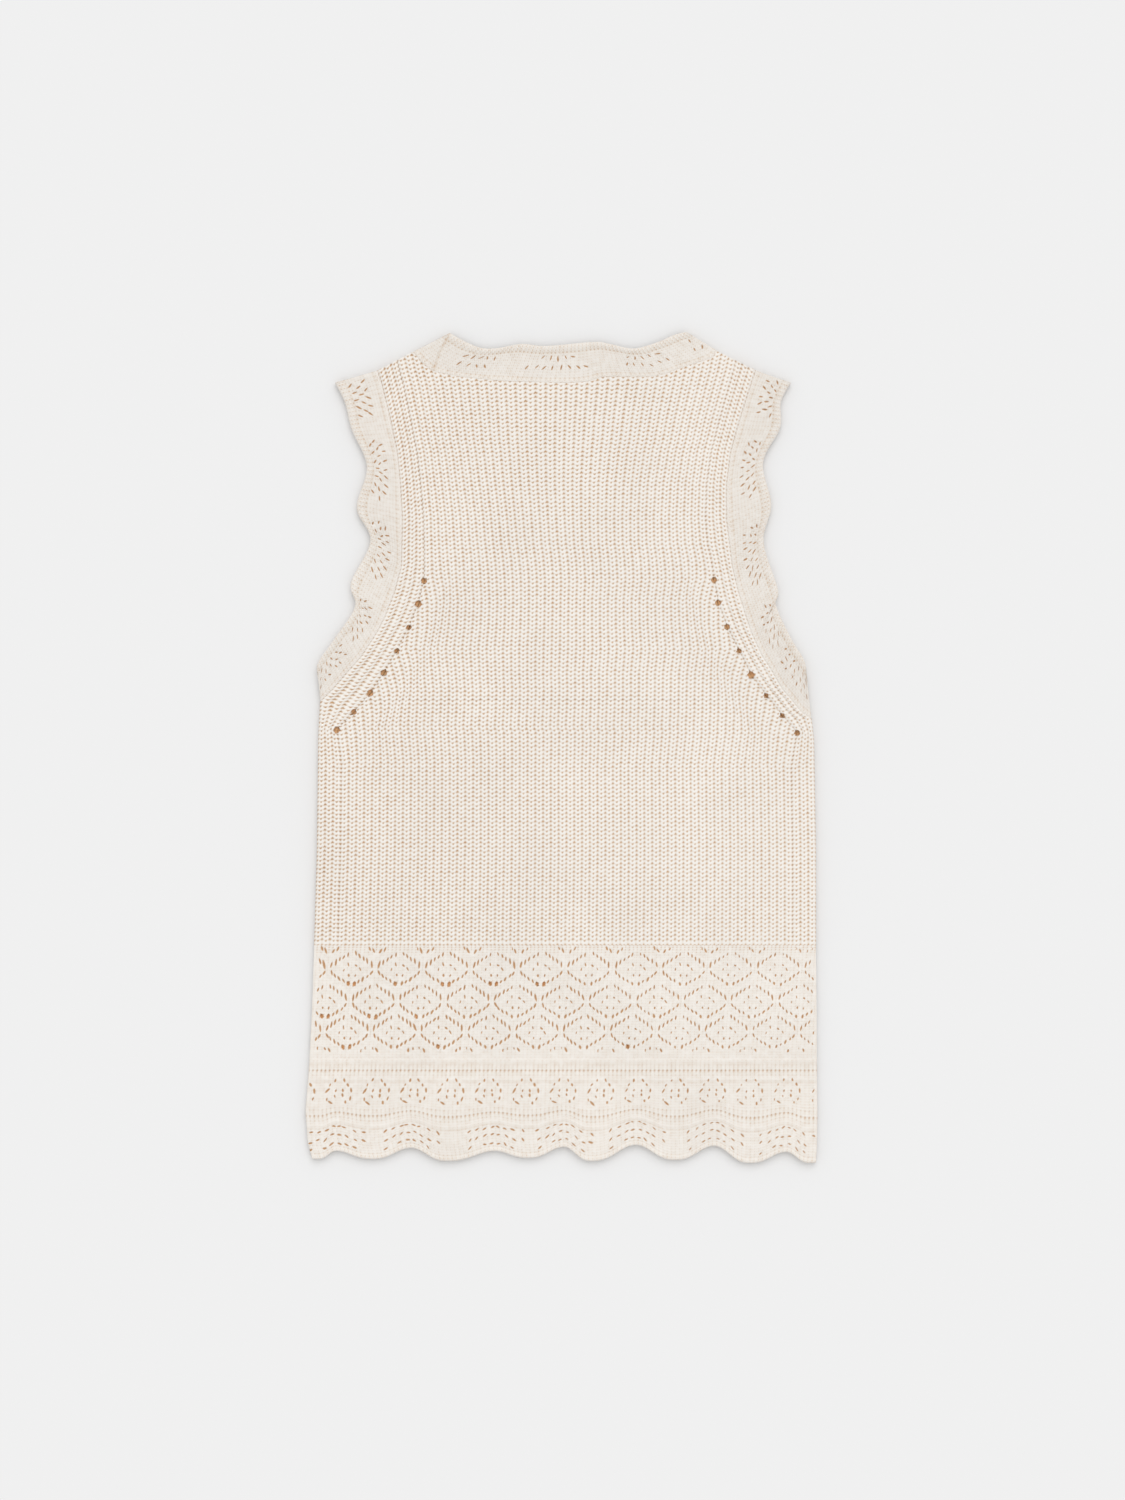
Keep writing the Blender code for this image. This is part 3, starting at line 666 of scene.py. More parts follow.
def rib_places(row_heights, columns, top_of):
    """Places and rib numbers of the rib between its two fashioning lines."""
    number, rows = np.meshgrid(columns, row_heights)
    on_right = number > 0.0
    height = rows
    for settle in range(SETTLING_ROUNDS):
        left, right = fashioning_x(0, height), fashioning_x(1, height)
        middle = (left + right) / 2.0
        inner = np.where(on_right, ribs_inside(1, height), ribs_inside(0, height))
        ribs = np.minimum(np.abs(number), inner)
        whole = inner + EDGE_RIBS
        across = spread_ribs(ribs / whole, height) / spread_ribs(inner / whole, height)
        fashioned = part_way(height - BEND_HEIGHTS[0], BEND_FADES[0])
        fashioned = fashioned * part_way(BEND_HEIGHTS[1] - height, BEND_FADES[1])
        bend = np.sin(pi * part_way(across - BEND_FROM, 1.0 - BEND_FROM)) ** 2
        across = across - FASHIONING_BEND * fashioned * bend
        places = middle + (np.where(on_right, right, left) - middle) * across
        height = np.minimum(rows, top_of(places))
    rib = np.where(on_right, ribs, -ribs)
    free = part_way(inner - ribs, BEND_BLEND)
    height = np.minimum(height + rib_lean(rib, height) * free, top_of(places))
    past = height >= top_of(places)
    last = np.where(past.any(0), past.argmax(0), len(row_heights) - 1)
    row = np.minimum(np.arange(len(row_heights))[:, None], last[None, :])
    return tuple(np.take_along_axis(part, row, 0) for part in (places, height, rib))


def through_points(points, steps):
    """A smooth curve through points, in fine steps."""
    points = np.asarray(points, float)
    padded = np.concatenate((points[:1], points, points[-1:]))
    share = np.linspace(0.0, 1.0, steps, endpoint=False)[:, None]
    curve = []
    for before, here, there, after in zip(padded, padded[1:], padded[2:], padded[3:]):
        start_pull, end_pull = (there - before) / 2.0, (after - here) / 2.0
        cubic = 2.0 * (here - there) + start_pull + end_pull
        square = 3.0 * (there - here) - 2.0 * start_pull - end_pull
        curve.append(here + share * (start_pull + share * (square + share * cubic)))
    return np.concatenate((*curve, points[-1:]))


neck_curve = through_points(TOP_EDGE[1:-1], CURVE_STEPS)
top_curve = np.concatenate((TOP_EDGE[:1], neck_curve, TOP_EDGE[-1:]))


def back_top(x):
    return np.interp(x, top_curve[:, 0], top_curve[:, 1])


def even_rows(low, high, step):
    count = int(round((high - low) / step))
    return low + np.arange(count + 1) * step


def level_at(wall, distance, reach, level):
    """Let a relief run out to one level near a seam."""
    return level + (wall - level) * part_way(distance, reach)


def course_grooves(count, rows_per_course):
    """1 on the rows of points that lie between two courses, and 0 on the others. With one row of
    points for each course, none lies between two."""
    between = (np.arange(count)[:, None] % rows_per_course == 0) & (rows_per_course > 1)
    return between.astype(float)


def whole_grid(x):
    """The squares of a grid that stay, and the place of their corners beside a slit: all, and far."""
    squares = x.shape[0] - 1, x.shape[1] - 1
    return np.ones(squares, bool), np.full((*squares, 4, 2), NO_SLIT)


def rib_sheet(row_heights, most_ribs, first_course, per_rib, per_course, top_of, eyelets):
    """The rib between the fashioning lines: places, relief and recess."""
    columns = np.arange(-most_ribs * per_rib, most_ribs * per_rib + 1) / per_rib
    x, height, rib = rib_places(row_heights, columns, top_of)
    courses = (np.arange(len(row_heights))[:, None] + 1) // per_course + first_course
    openness = stitch_openness(np.round(rib * 2.0).astype(int), courses, x) * rib_opening(height)
    wall, painted_shade = rib_relief(rib, course_grooves(len(row_heights), per_course), openness)
    wall = level_at(wall, height - LACE_TOP, LACE_BLEND, LACE_LEVEL)
    return pull_from_holes(x, height, wall, painted_shade, eyelets, 1), whole_grid(x)


back_eyelets = []
for number, row in enumerate(EYELETS):
    for side, (first_turn, turn_step) in enumerate(EYELET_TURNS):
        height, x = row[1 + 2 * side:3 + 2 * side]
        back_eyelets.append((x, height, row[5 + side], first_turn + turn_step * number))

RIB_GRAIN = (COLUMNS_PER_RIB / 2, ROWS_PER_COURSE)
row_step = COURSE / ROWS_PER_COURSE
lower_rows = even_rows(LACE_TOP, RIB_PARTING, row_step)
upper_rows = even_rows(lower_rows[-1], GRID_TOP, row_step)
lower_courses = (len(lower_rows) - 1) // ROWS_PER_COURSE
for name, row_heights, most_ribs, first_course in (
    ("back_rib_lower", lower_rows, LOWER_RIBS, 0),
    ("back_rib_upper", upper_rows, UPPER_RIBS, lower_courses),
):
    grid = (row_heights, most_ribs, first_course, COLUMNS_PER_RIB, ROWS_PER_COURSE)
    sheet = rib_sheet(*grid, back_top, back_eyelets)
    knit_piece(name, "back_panel", "rib_knit", *sheet, BACK_BASE, rib_cotton, RIB_GRAIN)


# ---------------------------------------------------------------- the back's edge ribs
# The outermost three ribs on each side run up the side seam, then follow the armhole outside the
# fashioning holes up to the shoulder. They are knitted in one with the rest of the back.
EDGE_BEND_HEIGHT = 300.0
EDGE_STRETCH = 1.09
EDGE_TUCK = 0.06
EDGE_DROP = 0.05
EDGE_OPENNESS = 1.15
EDGE_STITCHES = 70
EDGE_BLEND = 0.3
RIM_FALL = 0.9
RIM_RIBS = 0.4
RAIL_POINTS = 400
FASHIONING_TOPS = (603.2, 603.6)
SHOULDER_HEIGHTS = (594.0, 594.2)


def curve_steps(points, count):
    """A chain of points walked in even steps."""
    points = np.asarray(points, float)
    walked = np.concatenate(((0.0,), np.cumsum(np.hypot(*np.diff(points, axis=0).T))))
    at = np.linspace(0.0, walked[-1], count)
    return np.column_stack([np.interp(at, walked, axis) for axis in points.T])


def edge_rib_rails(side, row):
    """The fashioning line and the seam, with the same number of points, from the lace upwards."""
    low = even_rows(LACE_TOP, EDGE_BEND_HEIGHT, row)
    count = int(round((SHOULDER_HEIGHTS[0] - EDGE_BEND_HEIGHT) * EDGE_STRETCH / row)) + 1
    rails = []
    for line, tops in ((fashioning_x, FASHIONING_TOPS), (edge_x, SHOULDER_HEIGHTS)):
        heights = np.linspace(EDGE_BEND_HEIGHT, tops[side], RAIL_POINTS)
        above = curve_steps(np.column_stack((line(side, heights), heights)), count)
        rails.append(np.concatenate((np.column_stack((line(side, low), low))[:-1], above)))
    return rails


def edge_rib_sheet(side, per_rib, per_course, eyelets):
    line, seam = edge_rib_rails(side, COURSE / per_course)
    steps = np.arange(EDGE_RIBS * per_rib + 1) / per_rib
    steps[0] = -EDGE_TUCK
    share = steps[None, :] / EDGE_RIBS
    x = line[:, :1] + share * (seam[:, :1] - line[:, :1])
    height = line[:, 1:] + share * (seam[:, 1:] - line[:, 1:])
    rib = np.repeat(steps[None, :], len(line), 0)
    courses = (np.arange(len(line))[:, None] + 1) // per_course
    half_rib = np.round(rib * 2.0).astype(int) + EDGE_STITCHES * side
    openness = EDGE_OPENNESS * stitch_openness(half_rib, courses, x) * rib_opening(height)
    wall, painted_shade = rib_relief(np.maximum(rib, 0.0), course_grooves(len(line), per_course), openness)
    free = part_way(rib, EDGE_BLEND) * part_way(EDGE_RIBS - rib, EDGE_BLEND)
    height = np.minimum(height + rib_lean(rib, height) * free, back_top(x))
    wall = level_at(wall, height - LACE_TOP, LACE_BLEND, LACE_LEVEL)
    wall = np.where(rib < 0.0, wall - EDGE_DROP, wall)
    wall = wall - RIM_FALL * part_way(rib - EDGE_RIBS + RIM_RIBS, RIM_RIBS) ** 2
    sheet = pull_from_holes(x, height, wall, painted_shade, eyelets, -1)
    if side == 0:
        sheet = tuple(part[:, ::-1] for part in sheet)
    return sheet, whole_grid(x)


for side, name in enumerate(("back_left_edge_ribs", "back_right_edge_ribs")):
    sheet = edge_rib_sheet(side, COLUMNS_PER_RIB, ROWS_PER_COURSE, back_eyelets)
    knit_piece(name, "back_panel", "rib_knit", *sheet, BACK_BASE, rib_cotton, RIB_GRAIN)


# ---------------------------------------------------------------- the back's diamond lace
# Under the rib the same yarn is knitted plain, with three staggered rows of pointelle diamonds.
# Their holes are yarn-overs, so each is a leaning slit with a raised rim. The wide slits are cut
# through, and the narrow ones are dimples whose dark middle is painted shade.
DIAMOND_FOOT = 77.25
SEAM_LEVEL = 2.1
SEAM_BLEND = 0.8
LACE_COURSES = 45
LACE_COLUMNS = 4
LACE_GRAIN = (LACE_COLUMNS, ROWS_PER_COURSE)
DIAMOND_WALES = 12
DIAMOND_PITCH = 35.55
WALE_SPAN = (-5, 127)
DIAMOND_ROWS = (
    # height, first junction x, junctions
    (101.25, -178.5, 11), (124.1, -159.0, 10), (148.5, -175.1, 11),
)
DIAMOND_DRIFT = (-175.1 + 178.5) / (148.50 - 101.25)
DIAMOND_CHART = (
    # Slits round the place where four diamonds meet:
    # x, up, half width, half length, lean in degrees
    (-2.7, 0.2, 0.68, 2.0, -8), (-5.9, 3.0, 0.6, 1.7, -10), (-8.8, 4.7, 0.56, 1.4, -12),
    (-11.6, 6.8, 0.6, 1.3, -14), (-14.4, 8.6, 0.54, 1.2, -18), (2.7, 0.1, 0.68, 2.0, 14),
    (5.9, 2.2, 0.58, 1.7, 16), (8.9, 4.1, 0.56, 1.3, 20), (12.0, 6.0, 0.54, 1.2, 30),
    (15.2, 7.8, 0.54, 1.2, 12), (2.8, -5.8, 0.62, 1.5, -20), (5.3, -8.0, 0.56, 1.3, -22),
    (8.1, -10.2, 0.56, 1.3, -24), (11.2, -11.8, 0.6, 1.2, -24), (14.8, -14.1, 0.86, 1.2, -12),
    (-3.1, -5.9, 0.64, 1.4, 30), (-5.7, -8.3, 0.64, 1.2, 26), (-9.2, -10.6, 0.7, 1.4, 24),
    (-12.6, -12.4, 0.62, 1.1, 30), (-15.8, -14.1, 0.84, 1.3, 16),
)
DIAMOND_HEART = (
    # Small slits inside a diamond, from its middle
    (-5.9, -3.4, 0.45, 0.9, 16), (-2.6, 0.5, 0.5, 1.1, -12), (3.1, -0.3, 0.64, 0.9, -50),
    (6.3, -3.1, 0.5, 1.1, -30), (-2.1, -7.7, 0.7, 0.8, 0), (2.5, -7.8, 0.5, 0.8, 20),
)
TOP_POINTS = (
    # The feet of the diamonds that the rib cuts off, over the upper row's junctions
    (-1.5, 10.7, 0.66, 1.5, -24), (-4.2, 12.5, 0.6, 1.2, -20), (3.9, 10.1, 0.66, 1.4, 26),
    (7.3, 11.9, 0.55, 1.2, 24),
)
FOOT_POINTS = (
    # Under the lower row's junctions
    (-7.3, -16.8, 0.7, 1.0, 14), (-4.2, -15.4, 0.55, 0.9, 0), (1.1, -15.3, 0.5, 0.8, -30),
    (4.2, -16.5, 0.72, 1.4, -26),
)
# Distances that slits keep from the sides, the foot and the top of the lace
SIDE_MARGIN = 2.5
FOOT_MARGIN = 2.0
TOP_MARGIN = 1.6
# How far the rib's dots run on into the top of the lace, and their painted shade
DOTS_RUN_ON = 8.0
RUN_ON_RECESS = 0.55
# Plain knitting: depth, painted shade
PLAIN_WALL = 2.0
WALE_GROOVE = (0.34, 0.06)
LEG_PARTING = (0.24, 0.04)
COURSE_GROOVE = (0.12, 0.04)
CROSSING_RECESS = 0.12
PLAIN_LEAN = 0.45
SIDE_WIDTH = 2.5
SIDE_BLEND = 2.0
# Slits: size, how it shrinks to the right and varies, and how far they drift and turn
SLIT_SEED = 11
SLIT_SIZE = 1.2
SLIT_SHRINKING = 0.0009
SLIT_SPREAD = 0.10
SLIT_THINNING = 0.82
SLIT_UNEVENNESS = (0.16, 5.0)
SLIT_DEPTH = 0.60
RIM_RISE = 0.25
RIM_CREST = (1.9, 0.6)
RIM_LIGHT = 0.6
# Cuts: least half width, and distances from a slit's middle, where its rim is at 1
CUT_WIDTH = 0.92
CUT_SPACING = 2.2
CUT_MIDDLE = 0.95
CUT_CORNER = 0.55
RIM_REACH = 1.7
slit_rng = np.random.default_rng(SLIT_SEED)


def plain_knit(wale, groove):
    """Relief and painted shade of plain knitting: a column of V stitches for each wale, from groove
    to groove. Groove is 1 on the rows of points that lie between two courses."""
    across = off_middle(wale)
    wall, painted_shade = PLAIN_WALL, groove * CROSSING_RECESS * across ** 4
    for part, (depth, tone) in (
        (across ** 4, WALE_GROOVE),
        ((1.0 - across) ** 6, LEG_PARTING),
        (groove, COURSE_GROOVE),
    ):
        wall = wall - depth * part
        painted_shade = painted_shade + tone * part
    return wall, painted_shade


def plain_lean(wale, course, low, high, height):
    """How far the stitches of a course lean up towards the grooves beside their wale."""
    free = part_way(height - low, course) * part_way(high - height, course)
    return PLAIN_LEAN * course * (off_middle(wale) - 0.5) * free


def side_fall(from_side):
    """How far a piece falls to its side seam."""
    return RIM_FALL * part_way(SIDE_WIDTH - from_side, SIDE_WIDTH) ** 2


def place_slits(chart, at_x, at_height, limits, unevenness=SLIT_UNEVENNESS):
    """Slits of a chart round one place, inside the limits. The unevenness is how far, in
    millimetres and degrees, they drift and turn from the chart."""
    slits = []
    for x, up, half_width, half_length, lean in chart:
        drift = slit_rng.normal(0.0, unevenness[0], 2)
        size = SLIT_SIZE - SLIT_SHRINKING * at_x + slit_rng.normal(0.0, SLIT_SPREAD)
        place = (at_x + x + drift[0], at_height + up + drift[1])
        if limits[0] < place[0] < limits[1] and limits[2] < place[1] < limits[3]:
            turn = radians(lean + slit_rng.normal(0.0, unevenness[1]))
            slits.append((*place, half_width * size * SLIT_THINNING, half_length * size, turn))
    return slits


def square_corners(grid):
    """The values at the four corners of each square of a grid."""
    return np.stack((grid[:-1, :-1], grid[:-1, 1:], grid[1:, 1:], grid[1:, :-1]), -1)


def beside_slit(x, up, slit):
    """Places in half widths and half lengths from a slit's middle, and in millimetres from it."""
    slit_x, slit_up, half_width, half_length, lean = slit
    aside, above = x - slit_x, up - slit_up
    thin = (aside * np.cos(lean) - above * np.sin(lean)) / half_width
    long = (aside * np.sin(lean) + above * np.cos(lean)) / half_length
    return thin, long, aside, above


def cut_slits(x, up, wall, painted_shade, slits):
    """Sink leaning slits into a grid and raise the yarn round them. The wide ones are cut through
    where they don't meet another cut, and the points beside them move to the nearest one's rim."""
    keep, _ = whole_grid(x)
    nearest_slit = np.full(keep.shape, -1)
    slit_distance = np.full(keep.shape, NO_SLIT)
    row_at, column_at = up.mean(1), x.mean(0)
    nearest = np.full(x.shape, np.inf)
    moved_x, moved_up = x.copy(), up.copy()
    sunk, raised = np.zeros(x.shape), np.zeros(x.shape)
    for number, slit in enumerate(slits):
        slit_x, slit_up, half_width, half_length, _ = slit
        reach = 2.0 * max(half_width, half_length) + 1.0
        low, high = np.searchsorted(row_at, (slit_up - reach, slit_up + reach))
        left, right = np.searchsorted(column_at, (slit_x - reach, slit_x + reach))
        near = np.s_[low:high, left:right]
        squares = np.s_[low:high - 1, left:right - 1]
        thin, long, aside, above = beside_slit(x[near], up[near], slit)
        away = np.hypot(thin, long)
        corners = square_corners(away)
        closer = corners.mean(-1) < slit_distance[squares]
        slit_distance[squares] = np.where(closer, corners.mean(-1), slit_distance[squares])
        nearest_slit[squares] = np.where(closer, number, nearest_slit[squares])
        sunk[near] = np.maximum(sunk[near], bell(away, 0.0, 1.0))
        raised[near] = np.maximum(raised[near], bell(np.maximum(away, 1.0), *RIM_CREST))
        meets_cut = ~keep[squares] & (corners.min(-1) < CUT_SPACING)
        if half_width < CUT_WIDTH or meets_cut.any():
            continue
        keep[squares] &= (corners.mean(-1) > CUT_MIDDLE) & (corners.min(-1) > CUT_CORNER)
        pull = 1.0 / np.maximum(away, 0.5)
        closer = (away < nearest[near]) & (away < RIM_REACH)
        moved_x[near] = np.where(closer, slit_x + aside * pull, moved_x[near])
        moved_up[near] = np.where(closer, slit_up + above * pull, moved_up[near])
        nearest[near] = np.minimum(nearest[near], away)
    touched = np.zeros(x.shape, bool)
    for down in (0, 1):
        for over in (0, 1):
            touched[down:down + keep.shape[0], over:over + keep.shape[1]] |= ~keep
    touched &= nearest < RIM_REACH
    x[touched] = moved_x[touched]
    up[touched] = moved_up[touched]
    across, rise = x[1:, 1:] - x[:-1, :-1], up[1:, 1:] - up[:-1, :-1]
    lower_turn = (x[:-1, 1:] - x[:-1, :-1]) * rise - (up[:-1, 1:] - up[:-1, :-1]) * across
    upper_turn = across * (up[1:, :-1] - up[:-1, :-1]) - rise * (x[1:, :-1] - x[:-1, :-1])
    keep &= (lower_turn >= 0.0) & (upper_turn >= 0.0)
    wall += RIM_RISE * raised - SLIT_DEPTH * sunk
    # The rims of cut slits are painted dark as shade, and the raised yarn takes less painted shade
    painted_shade[:] = np.where(touched, RIM_RECESS, painted_shade * (1.0 - RIM_LIGHT * raised))
    chosen = np.moveaxis(np.array(slits)[nearest_slit], -1, 0)[..., None]
    thin, long, *_ = beside_slit(square_corners(x), square_corners(up), chosen)
    beside = np.stack((thin, long), -1)
    return keep, np.where(nearest_slit[..., None, None] >= 0, beside, NO_SLIT)


def diamond_slits(shift):
    slits = []
    for number, (height, first_x, count) in enumerate(DIAMOND_ROWS):
        sides = edge_x(0, height) + SIDE_MARGIN, edge_x(1, height) - SIDE_MARGIN
        limits = (*sides, DIAMOND_FOOT + FOOT_MARGIN, LACE_TOP - TOP_MARGIN)
        for junction in range(-1, count + 1):
            x = first_x + shift + junction * DIAMOND_PITCH
            slits.extend(place_slits(DIAMOND_CHART, x, height, limits))
            slits.extend(place_slits(DIAMOND_HEART, x + DIAMOND_PITCH / 2.0, height, limits))
            if number == 0:
                slits.extend(place_slits(FOOT_POINTS, x, height, limits))
            if number == len(DIAMOND_ROWS) - 1:
                slits.extend(place_slits(TOP_POINTS, x, height, limits))
    return slits


def diamond_sheet(per_wale, rows_per_course, slits):
    course = (LACE_TOP - DIAMOND_FOOT) / LACE_COURSES
    row_heights = even_rows(DIAMOND_FOOT, LACE_TOP, course / rows_per_course)
    first_wale, last_wale = WALE_SPAN
    columns = np.arange(first_wale * per_wale, last_wale * per_wale + 1) / per_wale
    wale, height = np.meshgrid(columns, row_heights)
    start = DIAMOND_ROWS[0][1] + (height - DIAMOND_ROWS[0][0]) * DIAMOND_DRIFT
    pitch = DIAMOND_PITCH / DIAMOND_WALES
    x = np.clip(start + wale * pitch, edge_x(0, height), edge_x(1, height))
    wale = (x - start) / pitch
    groove = course_grooves(len(row_heights), rows_per_course)
    wall, painted_shade = plain_knit(wale, groove)
    from_side = np.minimum(x - edge_x(0, height), edge_x(1, height) - x)
    lean = plain_lean(wale, course, DIAMOND_FOOT, LACE_TOP, height)
    height = height + lean * part_way(from_side, SIDE_BLEND)
    run_on = part_way(DOTS_RUN_ON - (LACE_TOP - height), DOTS_RUN_ON)
    painted_shade = painted_shade + RUN_ON_RECESS * groove * off_middle(wale) ** 3 * run_on
    cut = cut_slits(x, height, wall, painted_shade, slits)
    wall = level_at(wall, height - DIAMOND_FOOT, SEAM_BLEND, SEAM_LEVEL) - side_fall(from_side)
    return (x, height, wall, painted_shade), cut


lace = diamond_sheet(LACE_COLUMNS, ROWS_PER_COURSE, diamond_slits(0.0))
knit_piece("back_diamond_lace", "back_panel", "rib_knit", *lace, BACK_BASE, lace_cotton, LACE_GRAIN)


# ---------------------------------------------------------------- the back's scalloped border
# The border is knitted first, from the hem up: a beaded edge that rolls to the outside, fans of
# yarn-overs that draw the hem into scallops, then small rosettes between dotted courses.
BORDER_WALES = 122
BORDER_COURSES = 37
BORDER_SIDES = (-188.5, 189.5)
HEM_MEAN = 6.0
HEM = np.array((
    # x, height: tips and valleys of the scallops in turn
    (-182.6, 3.0), (-169.1, 9.0), (-142.1, 3.0), (-112.9, 11.25), (-85.9, 1.5), (-49.9, 9.0),
    (-25.1, 3.75), (1.9, 12.0), (22.1, 1.5), (55.9, 13.5), (85.1, 2.25), (114.4, 12.75),
    (141.4, 0.0), (168.4, 8.25), (186.5, 0.0),
))
SCALLOP_POWER = 1.35
HEM_SWING = np.array((
    # mean height, share of the hem's wave
    (6.0, 1.0), (11.0, 0.95), (18.0, 0.88), (24.0, 0.8), (28.0, 0.65), (36.0, 0.5), (45.0, 0.15),
    (58.0, 0.0),
))
ROLL_WIDTH = 3.6
ROLL_RISE = 0.75
FAN_ROWS = (
    # mean height, places along the hem from the fan's middle
    (12.5, (-18.8, -8.3, -3.0, 2.6, 7.5, 13.5)),
    (18.8, (-19.0, -13.5, -7.5, -2.3, 3.0, 8.3, 14.0, 20.7)),
    (25.2, (-19.5, -12.8, -6.8, -2.3, 2.3, 6.8, 13.5, 20.7)),
)
FAN_SLIT = (0.60, 1.15)
FAN_FOCUS = -20.0
FAN_UNEVENNESS = (0.45, 16.0)
ROSETTE_HEIGHT = 52.5
ROSETTE_PITCH = 28.0
FIRST_ROSETTE = -194.9
ROSETTES = 15
ROSETTE_CHART = (
    # x, up, half width, half length, lean in degrees
    (-2.7, 9.6, 0.65, 1.0, 20), (4.0, 9.6, 0.65, 1.1, -24), (6.8, 6.4, 0.7, 0.95, -20),
    (9.4, 1.9, 0.7, 1.3, 0), (8.4, -4.1, 0.55, 1.1, 20), (5.0, -7.0, 0.7, 0.9, 0),
    (-6.4, -7.0, 0.65, 1.6, -55), (-9.2, -4.6, 0.5, 0.9, 0), (-8.5, 1.9, 0.65, 1.7, 35),
    (-6.6, 6.2, 0.45, 0.9, 30), (-2.5, 1.9, 0.55, 0.9, 20), (2.9, 1.9, 0.6, 0.9, 0),
    (-3.2, -2.5, 0.55, 0.9, -20), (2.8, -1.7, 0.7, 1.0, 0),
)
DOTTED_COURSES = (
    # mean height, strength
    (33.4, 0.22), (36.6, 0.8), (40.4, 0.25), (66.2, 0.2), (69.4, 0.85), (72.8, 0.22),
)
SOFT_LINES = (
    # mean height, rise
    (29.4, 0.35), (62.6, 0.25), (76.0, 0.2),
)
# Dots: half width up and across, then depth and painted shade. Painted shades: distance from their
# line, half width, painted shade
DOT_SIZE = (0.75, 0.4)
DOT_DEPTH = (0.8, 0.70)
LINE_WIDTH = 1.1
LINE_SHADE = (1.7, 0.6, 0.10)
HEM_SHADE = (0.4, 0.6, 0.10)
# Painted shade in the grooves between the wales over the roll
HEM_GROOVES = 0.14
BEAD_SHARE = 0.40
HEM_DROP = 0.75
FAN_TURN = 90.0


def hem_height(x):
    """The hem's scallops, broad at the tips and narrower at the valleys between them."""
    spot = np.clip(np.searchsorted(HEM[:, 0], x) - 1, 0, len(HEM) - 2)
    share = part_way(x - HEM[spot, 0], HEM[spot + 1, 0] - HEM[spot, 0])
    tip, valley = spot + spot % 2, spot + (spot + 1) % 2
    from_tip = (1.0 - np.cos(pi * np.where(spot == tip, share, 1.0 - share))) / 2.0
    return HEM[tip, 1] + from_tip ** SCALLOP_POWER * (HEM[valley, 1] - HEM[tip, 1])


def rolled_edge(over_edge, wale):
    """Rise of the beaded edge that rolls over, one bead for each wale."""
    share = part_way(over_edge, ROLL_WIDTH)
    bead = 1.0 + BEAD_SHARE * np.cos(2.0 * pi * wale)
    return ROLL_RISE * np.sin(pi * np.sqrt(share)) * bead - HEM_DROP * (1.0 - share) ** 6


def fan_slits(middle, rows, focus, slit, turn, limits):
    """Slits of one fan: they lie round a focus outside the edge, and lean from its rays by a turn."""
    slits = []
    for up, places in rows:
        for place in places:
            lean = np.degrees(np.arctan2(place, up - focus)) + turn
            slits.extend(place_slits(((place, 0.0, *slit, lean),), middle, up, limits, FAN_UNEVENNESS))
    return slits


def shaded(shade, across):
    """A shade along the wales, faint on the stitches and full in the grooves between them."""
    return shade * (0.3 + 0.7 * across)


def border_slits(shift):
    limits = (*BORDER_SIDES, HEM_MEAN + ROLL_WIDTH, DIAMOND_FOOT - FOOT_MARGIN)
    slits = []
    for middle in HEM[1::2, 0]:
        slits.extend(fan_slits(middle, FAN_ROWS, FAN_FOCUS, FAN_SLIT, FAN_TURN, limits))
    for number in range(ROSETTES):
        x = FIRST_ROSETTE + shift + number * ROSETTE_PITCH
        slits.extend(place_slits(ROSETTE_CHART, x, ROSETTE_HEIGHT, limits))
    return slits


def border_sheet(per_wale, rows_per_course, slits):
    course = (DIAMOND_FOOT - HEM_MEAN) / BORDER_COURSES
    row_heights = even_rows(HEM_MEAN, DIAMOND_FOOT, course / rows_per_course)
    wale, up = np.meshgrid(np.arange(BORDER_WALES * per_wale + 1) / per_wale, row_heights)
    left, right = edge_x(0, up), edge_x(1, up)
    x = left + (right - left) * wale / BORDER_WALES
    wall, painted_shade = plain_knit(wale, course_grooves(len(row_heights), rows_per_course))
    from_side = np.minimum(x - left, right - x)
    lean = plain_lean(wale, course, HEM_MEAN, DIAMOND_FOOT, up)
    up = up + lean * part_way(from_side, SIDE_BLEND)
    across = off_middle(wale)
    for dotted, strength in DOTTED_COURSES:
        dots = strength * bell(up, dotted, DOT_SIZE[0]) * bell(across, 1.0, DOT_SIZE[1])
        wall = wall - DOT_DEPTH[0] * dots
        painted_shade = painted_shade + DOT_DEPTH[1] * dots
    for line, rise in SOFT_LINES:
        below, width, tone = LINE_SHADE
        wall = wall + rise * bell(up, line, LINE_WIDTH)
        painted_shade = painted_shade + tone * bell(up, line - below, width)
    cut = cut_slits(x, up, wall, painted_shade, slits)
    over_edge = up - HEM_MEAN
    above, width, tone = HEM_SHADE
    painted_shade = painted_shade + tone * shaded(bell(over_edge, ROLL_WIDTH + above, width), across)
    painted_shade = painted_shade + HEM_GROOVES * across ** 4 * part_way(ROLL_WIDTH - over_edge, ROLL_WIDTH)
    wall = wall + rolled_edge(over_edge, wale)
    wall = level_at(wall, DIAMOND_FOOT - up, SEAM_BLEND, SEAM_LEVEL) - side_fall(from_side)
    swing = np.interp(up, HEM_SWING[:, 0], HEM_SWING[:, 1])
    height = up + swing * (hem_height(x) - HEM_MEAN)
    return (x, height, wall, painted_shade), cut


lace = border_sheet(LACE_COLUMNS, ROWS_PER_COURSE, border_slits(0.0))
knit_piece("back_border_lace", "back_panel", "rib_knit", *lace, BACK_BASE, lace_cotton, LACE_GRAIN)


